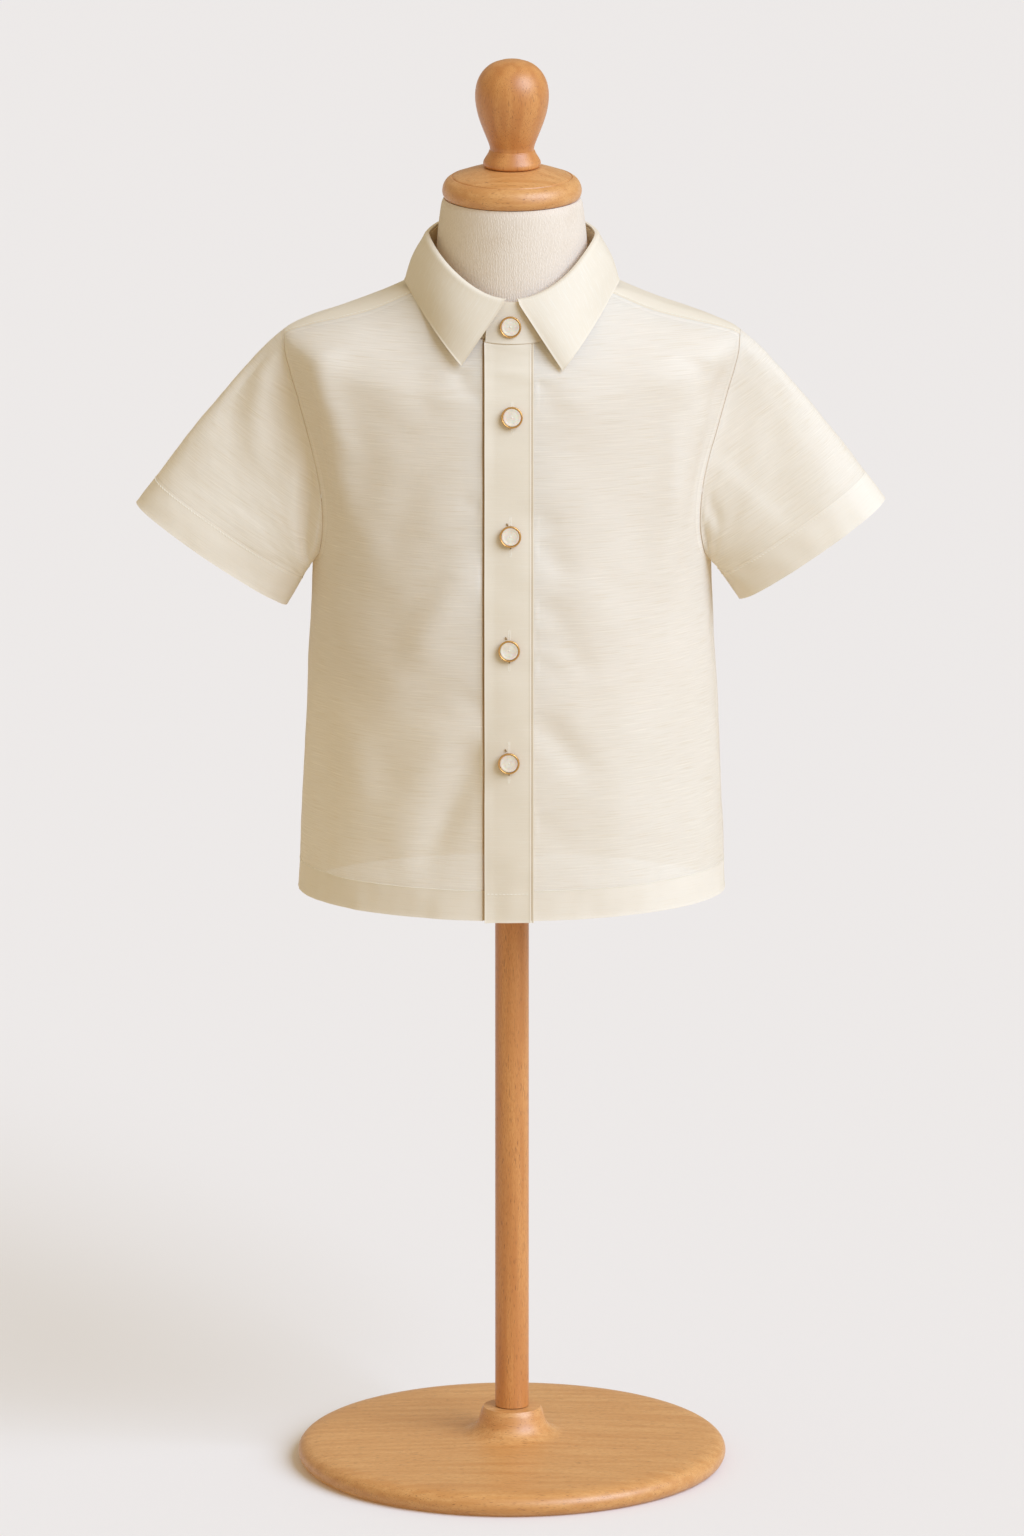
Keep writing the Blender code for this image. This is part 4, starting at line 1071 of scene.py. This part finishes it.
def placket_lift(x, level):
    """The placket's own relief: rolled edges, the stitch groove and the free edge standing off."""
    free = x - PLACKET_FREE_EDGE
    sewn = PLACKET_SEWN_EDGE - x
    edges = relief((free, 0.25, 0.8), (sewn - 0.35, 0.20, 0.45), (level + PLACKET_DROP, 0.2, 1.0))
    groove = relief((sewn - STITCH_IN, -0.18, 0.40), (sewn - STITCH_IN - 1, 0.18, 0.5))
    standing = PLACKET_STANDING * eased(free, PLACKET_STANDING_TO, 0)
    standing = standing * (1 + uneven_by(PLACKET_STANDING_RIPPLES, x, level))
    return edges + groove + standing + uneven_by(PLACKET_RIPPLES, x, level)


def on_placket(x, level, above=0.0):
    """Around, level and lift of places on the placket's outer face."""
    x, level = np.broadcast_arrays(x, level)
    return around_of_x(level, x), level, LAID_GAP + placket_lift(x, level) + PLACKET_PLIES + above


def make_placket(looks):
    free = PLACKET_FREE_EDGE + np.array(PLACKET_FREE_COLUMNS)
    sewn = PLACKET_SEWN_EDGE - np.array(PLACKET_SEWN_COLUMNS)
    x = np.concatenate((free, np.linspace(*PLACKET_MIDDLE_COLUMNS), sewn))
    levels = np.concatenate((PLACKET_HEM_ROWS, np.linspace(*PLACKET_ROWS)))
    level, x = np.meshgrid(levels, x, indexing="ij")
    around = around_of_x(level, x)
    full = eased(level, PLACKET_TOP, PLACKET_THIN_FROM)
    lift = (LAID_GAP + placket_lift(x, level)) * (PLACKET_TOP_LIFT + (1 - PLACKET_TOP_LIFT) * full)
    thick = PLACKET_PLIES * (PLACKET_TOP_PLIES + (1 - PLACKET_TOP_PLIES) * full)
    outer = body_point(around, level, lift + thick)
    inner = body_point(around, level, lift)
    return thin_shell("placket_cloth", outer, inner, np.stack((x, level), -1), looks["placket"])


def even_rows(curve, shares):
    """Rows along each column's curve, evenly spaced down to a hem of one depth all round."""
    start, handle, pull, end = curve
    t = np.linspace(0, 1, CURVE_STEPS)[:, None, None]
    fine = start * (1 - t) ** 3 + handle * 3 * (1 - t) ** 2 * t + pull * 3 * (1 - t) * t**2 + end * t**3
    run = run_down(fine)
    upper = shares / CUFF_HEM_SHARE * (run[-1] - CUFF_HEM_DEPTH)
    lower = run[-1] - (1 - shares) / (1 - CUFF_HEM_SHARE) * CUFF_HEM_DEPTH
    wanted = np.where(shares < CUFF_HEM_SHARE, upper, lower)
    rows = np.empty((len(shares), fine.shape[1], 3))
    for column in range(fine.shape[1]):
        for axis in range(3):
            rows[:, column, axis] = np.interp(wanted[:, column], run[:, column], fine[:, column, axis])
    return rows, run[-1]


def run_down(rows):
    """How far down its column each place of a grid lies, in mm."""
    steps = np.linalg.norm(np.diff(rows, axis=0), axis=-1)
    return np.concatenate((np.zeros((1, rows.shape[1])), np.cumsum(steps, axis=0)))


def sleeve_surface(name, turns, shares):
    """The sleeve's plain surface from the armhole's edge to the cuff, and its lengths.

    Also how far its first rows keep clear of the body, and the way down the sleeve.
    """
    side, centre_x, centre_z, half_length, half_depth, tilt = SLEEVES[name]
    start, normal, out = armhole_edge(side, turns)
    tilt = math.radians(tilt)
    upward = np.array((side * math.cos(tilt), 0, math.sin(tilt)))
    outward_way = np.array((side * math.sin(tilt), 0, -math.cos(tilt)))
    angle = np.radians(turns)[:, None]
    end = np.array((side * centre_x, CUFF_Y, centre_z)) - upward * half_length * np.cos(angle)
    end[:, 1] -= half_depth * signed_power(np.sin(angle[:, 0]), CUFF_FULLNESS)
    topness = np.maximum(0.0, -np.cos(angle))
    handle = start + out * SLEEVE_HEAD * topness**0.5 + normal * SLEEVE_CROWN * topness
    pull = end - outward_way * np.linalg.norm(end - start, axis=1, keepdims=True) * CUFF_PULL
    rows, lengths = even_rows((start, handle, pull, end), shares)
    # where the sleeve folds back over the body's edge, it is moved off its face
    off_edge = np.degrees(np.arccos(np.clip(np.sum(out * unit(rows[3] - rows[0]), axis=-1), -1, 1)))
    folded_back = eased(off_edge, *FOLDED_BACK)[:, None]
    clearing = out * SLEEVE_OFF_EDGE * (1 - folded_back) + normal * SLEEVE_OFF_FACE * folded_back
    return rows, lengths, clearing, (rows - end.mean(axis=0)) @ outward_way


def make_sleeve(name, looks):
    """The sleeve, and the places and normals round its hem's inner edge for the stitches."""
    side = SLEEVES[name][0]
    turns = sleeve_turns()
    shares = sleeve_shares()[:, None]
    rows, lengths, clearing, down_mm = sleeve_surface(name, turns, shares)
    normals = closed_normals(rows)
    normals[0] = normals[1]
    x, y = turns * SLEEVE_DEGREE_MM, shares * SLEEVE_LENGTH
    folds = fold_rise(SLEEVE_FOLDS[name], turns, shares, (SLEEVE_DEGREE_MM, SLEEVE_FOLD_LENGTH))
    waves = uneven_by(CUFF_WAVES, x, y * CUFF_WAVE_STRETCH, side) * eased(shares, *CUFF_WAVES_SHARES)
    uneven = uneven_by(SLEEVE_RIPPLES, x, y, side) + waves
    # the same at 0 and 360, where the sleeve's seam is
    uneven = uneven * eased(np.minimum(turns, 360 - turns), 0, SLEEVE_MEETING)
    from_seam = run_down(rows)
    from_cuff = lengths - from_seam
    rise = (folds + uneven) * eased(shares, 0.0, SLEEVE_FOLD_START)
    rise = rise + relief((from_seam - 0.4, 0.32, 0.5), (from_cuff, *HEM_ROLL))
    fading = eased(shares, SLEEVE_CLEARING_TO, 0.0)[..., None]
    outer = rows + normals * rise[..., None] + clearing * fading
    inner = outer - normals * np.where(shares >= CUFF_HEM_SHARE, HEM_PLIES, PLY)[..., None]
    wide = np.append(turns, 360.0) * math.radians(SLEEVE_GRAIN_RADIUS)
    grain = np.stack(np.broadcast_arrays(wide, closed_round(down_mm)), -1)
    marks = {
        "seam_mm": np.full(from_seam.shape, NOT_DOUBLED),
        "hem_mm": from_cuff - CUFF_HEM_DEPTH,
        # painted tan shade along the armhole seam
        "line_mm": from_seam + SLEEVE_SEAM_PALER,
    }
    made = thin_shell(name + "_cloth", outer, inner, grain, looks["body"], marks)
    hem_row = int(np.searchsorted(shares[:, 0], CUFF_HEM_SHARE)) + 1
    return made, (outer[hem_row], normals[hem_row])


def stand_grid(shares, columns):
    """The band's outer face and normals, its under end moved in below the other."""
    low = body_base(columns, np.full(columns.shape, LEVEL_NECK))
    rising = unit(low - body_base(columns, np.full(columns.shape, LEVEL_NECK - 1)))
    low = low + rising * LAID_GAP
    high = ring_point(STAND_TOP, columns)
    ahead = ring_point(STAND_TOP, columns + 1) - ring_point(STAND_TOP, columns - 1)
    normal = unit(np.cross(ahead, high - low))
    tuck = STAND_TUCK * (1 - eased(-columns, STAND_TUCK_FROM, STAND_TUCK_TO))
    # over the placket the band reaches a little lower and stands out from it
    lapped = eased(np.abs(low[:, 0]), STAND_LAP_TO, STAND_LAP_FROM) * (columns < -180)
    low = low - rising * (STAND_LAP_DROP * lapped)[:, None]
    share = shares[:, :, None]
    outer = low + (high - low) * share - normal * tuck[:, None]
    outer = outer + normal * (STAND_LAP_LIFT * lapped)[:, None] * eased(share, 0.75, 0.0)
    return outer, normal


def make_stand_band(looks):
    neck_width = BODY_RINGS[-1][4]
    first = math.degrees(math.asin(STAND_INNER_END / neck_width))
    last = -360 + math.degrees(math.asin(STAND_OUTER_END / neck_width))
    columns = last + (first - last) * dense_ends(STAND_COLUMNS)
    shares = dense_ends(STAND_ROWS)[:, None]
    outer, normal = stand_grid(shares, columns)
    from_low = shares * STAND_HEIGHT
    from_end = (columns - last) * math.radians(STAND_GRAIN_RADIUS)
    edges = relief((from_low, 0.18, 0.8), (from_end, 0.18, 0.8), (from_low - 1.6, -0.14, 0.5))
    outer = outer + normal * edges[..., None]
    around_mm = columns * math.radians(STAND_GRAIN_RADIUS)
    grain = np.stack(np.broadcast_arrays(around_mm, from_low), -1)
    return thin_shell("collar_stand_cloth", outer, outer - normal * COLLAR_PLIES, grain, looks["stand"])


def leaf_edge(around):
    """The leaf's outer edge: a ring round the back, then straight to the collar point."""
    ahead = np.minimum(around, 360 - around)
    ring = ring_point(LEAF_EDGE, around)
    side, tip = ring_point(LEAF_EDGE, 90.0), ring_point(LEAF_EDGE, LEAF_TIP_ANGLE)
    share = np.clip((ahead - LEAF_TIP_ANGLE) / (90 - LEAF_TIP_ANGLE), 0, 1)[:, None]
    point = tip + (side - tip) * share
    point[:, 1] = tip[1] * (1 - share[:, 0] ** LEAF_EDGE_REACH)
    right = around > 180
    point[right, 0] *= -1
    point[right, 2] += LEAF_RIGHT_LIFT * (1 - share[right, 0])
    return np.where((ahead >= 90)[:, None], ring, point)


def leaf_grid(shares):
    """The leaf's outer face and normals, and its rows' distances from the fold.

    Columns go from its left end round the back, and rows from its fold outwards.
    """
    start_fold = math.degrees(math.asin(LEAF_END_LEFT / STAND_TOP[4]))
    end_fold = 360 - math.degrees(math.asin(LEAF_END_RIGHT / STAND_TOP[4]))
    fold = start_fold + (end_fold - start_fold) * shares
    edge = leaf_edge(LEAF_TIP_ANGLE + (360 - 2 * LEAF_TIP_ANGLE) * shares)
    top = ring_point(STAND_TOP, fold)
    ahead = ring_point(STAND_TOP, fold + 1) - ring_point(STAND_TOP, fold - 1)
    outwards = unit(np.cross(ahead, UP))
    from_end = np.minimum(shares, 1 - shares)[:, None] * LEAF_LENGTH
    back_way = unit(ahead) * np.sign(0.5 - shares)[:, None]
    slant = back_way * LEAF_END_SLANT * eased(from_end, LEAF_SLANT_FROM, 0)
    roll_end = LEAF_ROLL[-1][0]
    places, rows = [], []
    for place, out, up in LEAF_ROLL:
        places.append(place)
        rows.append(top + outwards * out + UP * up + slant * (place / roll_end))
    rolled = rows[-1]
    for share in (0.25, 0.5, 0.75, 1.0):
        places.append(roll_end + LEAF_DEPTH * share)
        rows.append(rolled + (edge - rolled) * share + outwards * LEAF_BOW * math.sin(math.pi * share))
    table = np.column_stack((places, np.stack(rows).reshape(len(rows), -1)))
    at = roll_end + LEAF_DEPTH * dense_ends(LEAF_ROWS, start=False)
    at = np.concatenate((np.linspace(0, roll_end, LEAF_ROLL_ROWS)[:-1], at))
    grid = smooth_rows(table, at)[:, 1:].reshape(len(at), -1, 3)
    normal = unit(np.cross(np.gradient(grid, axis=0), np.gradient(grid, axis=1)))
    away = grid * (1, 1, 0) + 20 * UP
    return grid, normal * np.sign(np.sum(normal * away, axis=-1, keepdims=True)), at


def make_leaf(looks):
    shares = dense_ends(LEAF_COLUMNS)
    grid, normal, at = leaf_grid(shares)
    lengths = np.linalg.norm(grid[-1] - grid[0], axis=-1)
    from_edge = (at[-1] - at)[:, None] / LEAF_DEPTH * lengths
    around_mm = shares * LEAF_LENGTH
    close = np.minimum(from_edge, np.minimum(around_mm, LEAF_LENGTH - around_mm))
    uneven = uneven_by(LEAF_RIPPLES, around_mm, from_edge) * eased(close, 0, LEAF_EVEN_EDGE)
    rise = relief((close, 0.26, 0.6), (close - 1.5, -0.14, 0.4)) + uneven
    outer = grid + normal * rise[..., None]
    grain = np.stack(np.broadcast_arrays(around_mm, at[:, None]), -1)
    return thin_shell("collar_leaf_cloth", outer, outer - normal * COLLAR_PLIES, grain, looks["collar"])


# ---- sewing


def body_stitches(lines, stitch):
    """Stitches along lines on the body, each given by its around, level and lift off the plain cloth."""
    placed = []
    for around, level, lift in lines:
        around, level = np.broadcast_arrays(around, level)
        placed.append(stitch_places(body_point(around, level, lift), body_normal(around, level), *stitch))
    return [np.concatenate(values) for values in zip(*placed)]


def hem_lines():
    """Along the hem of each front and of the back."""
    return [(np.linspace(*span), HEM_STITCH_UP, HEM_LIFT) for span in HEM_SPANS]


def yoke_lines():
    """Along the yoke's two front seams, and across the back."""
    ahead, level = yoke_front(np.linspace(0.02, 0.99, 200))
    back_ahead, back_level = armhole(360 - ARMHOLE_BACK_SEAM)
    first, last = 90 - back_ahead + YOKE_STITCH_IN, 270 + back_ahead - YOKE_STITCH_IN
    across = np.linspace(first, last, 500)
    fronts = [(side * (90 - ahead + YOKE_STITCH_IN), level, YOKE_FRONT_LIFT) for side in (1, -1)]
    return fronts + [(across, back_level + YOKE_STITCH_UP, YOKE_BACK_LIFT)]


def make_sewing(looks, cuffs):
    """Topstitching of the placket, the hems, the yoke seams and the cuffs, as threads lying on the cloth."""
    seam = on_placket(PLACKET_SEWN_EDGE - STITCH_IN, np.linspace(0.5, PLACKET_TOP - 1, 700), SEAM_LIFT)
    across = np.linspace(PLACKET_FREE_EDGE + 1, PLACKET_SEWN_EDGE - 2, 60)
    hem = on_placket(across, PLACKET_HEM_LEVEL, PLACKET_HEM_LIFT)
    places = {
        "placket_stitches": body_stitches([seam], CLOSE_STITCH),
        "hem_stitches": body_stitches(hem_lines(), HEM_STITCH),
        "placket_hem_stitches": body_stitches([hem], LONG_STITCH),
        "yoke_stitches": body_stitches(yoke_lines(), LONG_STITCH),
    }
    for name, (ring, normals) in cuffs.items():
        ring, normals = (np.concatenate((values, values[:1])) for values in (ring, normals))
        ring = ring + normals * CUFF_LIFT
        places[name + "_cuff_stitches"] = stitch_places(ring, normals, *CUFF_STITCH)
    made = {}
    for name, threads in places.items():
        tan = name == "placket_stitches"
        radius = TAN_THREAD_RADIUS if tan else THREAD_RADIUS
        made[name] = thread_bits(name, *threads, radius, looks["tan_thread" if tan else "thread"])
    return made


# ---- buttons

BUTTON_CUP = (
    (0.0, 0.0), (4.7, 0.0), (5.6, 0.15), (6.4, 0.7), (6.85, 1.3), (7.0, 1.85), (6.95, 2.35), (6.75, 2.68),
    (6.5, 2.8), (6.2, 2.7), (5.97, 2.4), (5.92, 2.0), (5.9, 1.55), (0.0, 1.5),
)
BUTTON_FACE = (
    (0.0, 1.56), (5.6, 1.56), (5.8, 1.75), (5.8, 1.98), (5.6, 2.14), (5.0, 2.2), (4.4, 2.08), (4.0, 2.0),
    (2.4, 1.93), (1.2, 1.9), (0.8, 1.86), (0.5, 1.98), (0.25, 2.06), (0.0, 2.06),
)
BUTTONHOLE_HALF = 13.0
BUTTONHOLE_PITCH = 0.5
BUTTONHOLE_THREAD = 0.13
# Each stitch's inner and outer end: off the buttonhole's line, and round its ends across and along
EDGE_STITCH = np.array((0.15, 0.85))
FAN_BEARINGS = (-50, 0, 50)
FAN_ACROSS = np.array((0.2, 0.9))
FAN_ALONG = np.array((0.3, 1.0))
# The ends of the thread that a button is sewn on with: x and climb from its middle, of two places each
BUTTON_THREADS = (((-1.4, -2.4), (7.4, 9.2)), ((-0.2, 0.4), (-6.6, -8.6)))
BUTTON_THREAD_RADIUS = 0.45


def button_seats():
    """(name, point, normal) of each button's back."""
    x, height = COLLAR_BUTTON
    around = math.degrees(math.asin(x / STAND_TOP[4]))
    low = body_base(around, LEVEL_NECK)
    high = ring_point(STAND_TOP, around)
    point = low + (high - low) * (height - low[2]) / (high[2] - low[2])
    seats = [("button_1", point, np.cross((1.0, 0.0, 0.0), unit(high - low)))]
    for number, (x, height) in enumerate(PLACKET_BUTTONS, 2):
        level = level_of_height(height)
        around = around_of_x(level, x)
        point = body_point(around, level, LAID_GAP + BUTTON_OFF_BODY)
        seats.append((f"button_{number}", point, body_normal(around, level)))
    return seats


def make_buttons(looks):
    made = []
    for name, point, normal in button_seats():
        turn = Vector(normal).to_track_quat("Z", "Y")
        base = point + normal * BUTTON_GAP
        cup = turned(name + "_rim", rounded(BUTTON_CUP, 3), BUTTON_SIDES, looks["gilt"], base, turn)
        face = turned(name + "_face", rounded(BUTTON_FACE, 3), BUTTON_SIDES, looks["shell"], base, turn)
        made.append((name, cup, face))
    return made


def make_buttonholes(looks):
    """Upright buttonholes in close small stitches that fan round each end, and the buttons' thread ends."""
    bits, nubs = [], []

    def add(kept, x_pair, level_pair, above):
        around, level, lift = on_placket(x_pair, level_pair, above)
        kept.append((*body_point(around, level, lift), body_normal(around, level)[0]))

    for x, height in PLACKET_BUTTONS:
        level = level_of_height(height)
        for climb in np.arange(-BUTTONHOLE_HALF, BUTTONHOLE_HALF + 0.1, BUTTONHOLE_PITCH):
            for side in (-1, 1):
                add(bits, x + side * EDGE_STITCH, level + climb, BUTTONHOLE_LIFT)
        for end in (-1, 1):
            for bearing in np.radians(FAN_BEARINGS):
                across, along = math.sin(bearing), math.cos(bearing) * end
                foot = level + BUTTONHOLE_HALF * end
                add(bits, x + across * FAN_ACROSS, foot + along * FAN_ALONG, BUTTONHOLE_LIFT)
        for off_x, climbs in BUTTON_THREADS:
            add(nubs, x + np.array(off_x), level + np.array(climbs), BUTTON_THREAD_LIFT)
    worked = thread_bits("buttonhole_edges", *zip(*bits), BUTTONHOLE_THREAD, looks["thread"])
    ends = thread_bits("button_threads", *zip(*nubs), BUTTON_THREAD_RADIUS, looks["brown_thread"])
    return worked, ends


# ---- the dress form

CAP_PROFILE = (
    (0.0, 0.0), (42.6, 0.0), (44.0, 1.0), (44.9, 3.2), (45.0, 5.4), (44.2, 8.6), (42.4, 11.4),
    (39.9, 13.2), (39.2, 13.5), (38.8, 13.1), (38.2, 13.1), (37.8, 13.9), (34.0, 15.4), (30.0, 16.8),
    (21.0, 19.6), (18.8, 20.1), (0.0, 20.4),
)
KNOB_PROFILE = (
    (0.0, 0.0), (17.8, 0.0), (18.5, 0.9), (18.5, 3.0), (17.3, 5.4), (15.6, 8.2), (14.75, 10.2),
    (14.35, 10.6), (14.2, 11.0), (14.3, 11.6), (14.6, 13.6), (16.2, 18.0), (18.6, 24.0), (20.9, 30.2),
    (22.7, 36.8), (23.7, 43.4), (23.6, 50.0), (22.1, 56.4), (18.6, 62.4), (13.4, 66.8), (7.0, 69.2),
    (0.0, 69.8),
)
BASE_PROFILE = (
    (0.0, 0.0), (134.0, 0.0), (138.0, 2.0), (140.0, 6.5), (138.6, 11.0), (134.0, 14.0), (122.0, 15.6),
    (34.0, 18.5), (27.0, 21.0), (22.5, 26.0), (20.0, 34.0), (18.6, 36.5), (0.0, 37.0),
)
POLE_RADIUS = 11.0
BASE_SIDES = 160
POLE_SIDES = 64
CAP_SIDES = 128
WOOD_GAP = 0.3


def form_rings():
    """The form's rings from its rounded bottom to the neck's top."""
    levels = np.linspace(FORM_INSETS[0][0], FORM_INSETS[-1][0], FORM_ROWS)
    inset = smooth_rows(FORM_INSETS, levels)
    rings = smooth_rows(BODY_RINGS, levels)
    rings[:, 1:4] -= inset[:, 3:4]
    rings[:, 4] -= inset[:, 1]
    rings[:, 5:7] -= inset[:, 2:3]
    bottom = []
    for step_in, drop in FORM_BOTTOM_ROUNDING:
        ring = rings[0].copy()
        ring[1:4] = ring[1] - drop
        ring[4:7] -= step_in
        bottom.append(ring)
    table = np.concatenate((rings[-3:], np.array(NECK_RINGS, float)))
    table[:, 0] = np.arange(len(table))
    upper = smooth_rows(table, np.linspace(2, len(table) - 1, FORM_NECK_ROWS))
    return np.concatenate((bottom, rings[1:-1], upper))


def make_form(looks):
    rings = form_rings()
    around = np.linspace(0, 360, FORM_SIDES, endpoint=False)
    grid = ring_point(rings[:, None, :], around, FRONT_LEVELNESS)
    numbers = np.arange(grid[..., 0].size).reshape(len(rings), -1)
    faces = quads(closed_round(numbers)).tolist() + [numbers[0].tolist(), numbers[-1].tolist()]
    made = new_object("form_cover", grid.reshape(-1, 3), faces, looks["form"])
    wide = np.append(around, 360.0) * math.radians(FORM_GRAIN_RADIUS)
    grain = np.stack(np.broadcast_arrays(wide, closed_round(grid[..., 2])), -1)
    corners = np.arange(grain[..., 0].size).reshape(len(rings), -1)
    map_cloth(made, grain, np.concatenate((quads(corners).ravel(), corners[0, :-1], corners[-1, :-1])))
    outward(made)
    return made, rings[0][1], rings[-1][1]


def make_wood(looks, bottom, top):
    """The base, the pole up to the form's bottom, and the cap and knob on its top."""
    low, high = BASE_PROFILE[-1][1] + WOOD_GAP, bottom - WOOD_GAP
    pole = [(0.0, low), *((POLE_RADIUS, height) for height in (low, (low + high) / 2, high)), (0.0, high)]
    cap_base = top + WOOD_GAP
    knob_base = cap_base + CAP_PROFILE[-1][1] + WOOD_GAP
    flat, up = looks["wood_flat"], looks["wood_up"]
    return {
        "base": turned("base_wood", rounded(BASE_PROFILE, 4), BASE_SIDES, flat),
        "pole": turned("pole_wood", pole, POLE_SIDES, up),
        "neck_cap": turned("cap_wood", rounded(CAP_PROFILE, 4), CAP_SIDES, flat, (0, 0, cap_base)),
        "neck_knob": turned("knob_wood", rounded(KNOB_PROFILE, 4), CAP_SIDES, up, (0, 0, knob_base)),
    }


# ---- the studio

CAMERA_DISTANCE = 12.0
CAMERA_ELEVATION = 14.0
CAMERA_TARGET = (0.0, 0.0, 0.467)
FRAME_HEIGHT = 0.998
SENSOR = 36.0
FLOOR_HALF = 30.0
WORLD_COLOUR = (1.0, 0.866, 0.617)
WORLD_STRENGTH = 0.565
KEY_COLOUR = (0.855, 1.05, 1.395)
KEY_ENERGY = 2.6
KEY_ANGLE = 45
KEY_AZIMUTH = 52
KEY_ELEVATION = 36


def aim(thing, azimuth, elevation, distance=0.0, target=(0.0, 0.0, 0.0)):
    """Sets a lamp or camera to look at the target; azimuth 0 is from the front."""
    turn, rise = math.radians(azimuth), math.radians(elevation)
    back = Vector((math.sin(turn) * math.cos(rise), -math.cos(turn) * math.cos(rise), math.sin(rise)))
    thing.location = Vector(target) + back * distance
    thing.rotation_mode = "QUATERNION"
    thing.rotation_quaternion = back.to_track_quat("Z", "Y")


def make_studio():
    corners = [(x * FLOOR_HALF, y * FLOOR_HALF, 0) for x, y in ((-1, -1), (1, -1), (1, 1), (-1, 1))]
    mesh = bpy.data.meshes.new("floor")
    mesh.from_pydata(corners, [], [(0, 1, 2, 3)])
    mesh.materials.append(floor_look())
    floor = added("floor", mesh)
    # the floor's own glow is left to the world's light, which is a warmer one
    floor.visible_diffuse = False

    world = bpy.data.worlds.new("studio")
    bpy.context.scene.world = world
    world.use_nodes = True
    background = world.node_tree.nodes["Background"].inputs
    background["Color"].default_value = (*WORLD_COLOUR, 1.0)
    background["Strength"].default_value = WORLD_STRENGTH

    key = bpy.data.lights.new("key", "SUN")
    key.energy = KEY_ENERGY
    key.angle = math.radians(KEY_ANGLE)
    key.color = KEY_COLOUR
    aim(added("key", key), KEY_AZIMUTH, KEY_ELEVATION)


def make_camera():
    data = bpy.data.cameras.new("camera")
    data.sensor_width = SENSOR
    data.sensor_fit = "AUTO"
    data.lens = SENSOR * CAMERA_DISTANCE / FRAME_HEIGHT
    data.clip_end = 100.0
    camera = added("camera", data)
    aim(camera, 0.0, CAMERA_ELEVATION, CAMERA_DISTANCE, CAMERA_TARGET)
    bpy.context.scene.camera = camera


# ---- putting it together


def main():
    make_camera()
    make_studio()
    scene = bpy.context.scene
    scene.view_settings.view_transform = "Standard"
    scene.cycles.transparent_max_bounces = 32
    scene.cycles.diffuse_bounces = 8
    looks = make_looks()

    cloth = {
        "front_left": make_front(1, looks),
        "front_right": make_front(-1, looks),
        "back": make_back(looks),
        "yoke": make_yoke(looks),
        "placket": make_placket(looks),
        "collar_stand": make_stand_band(looks),
        "collar_leaf": make_leaf(looks),
    }
    cuffs = {}
    for name in SLEEVES:
        cloth[name], cuffs[name] = make_sleeve(name, looks)
    for node, piece in cloth.items():
        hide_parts(node)

    sewing = make_sewing(looks, cuffs)
    for name, cup, face in make_buttons(looks):
        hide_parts(name)
    for piece in make_buttonholes(looks):
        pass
    cover, bottom, top = make_form(looks)
    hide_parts("form_torso")
    for node, piece in make_wood(looks, bottom, top).items():
        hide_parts(node)


main()
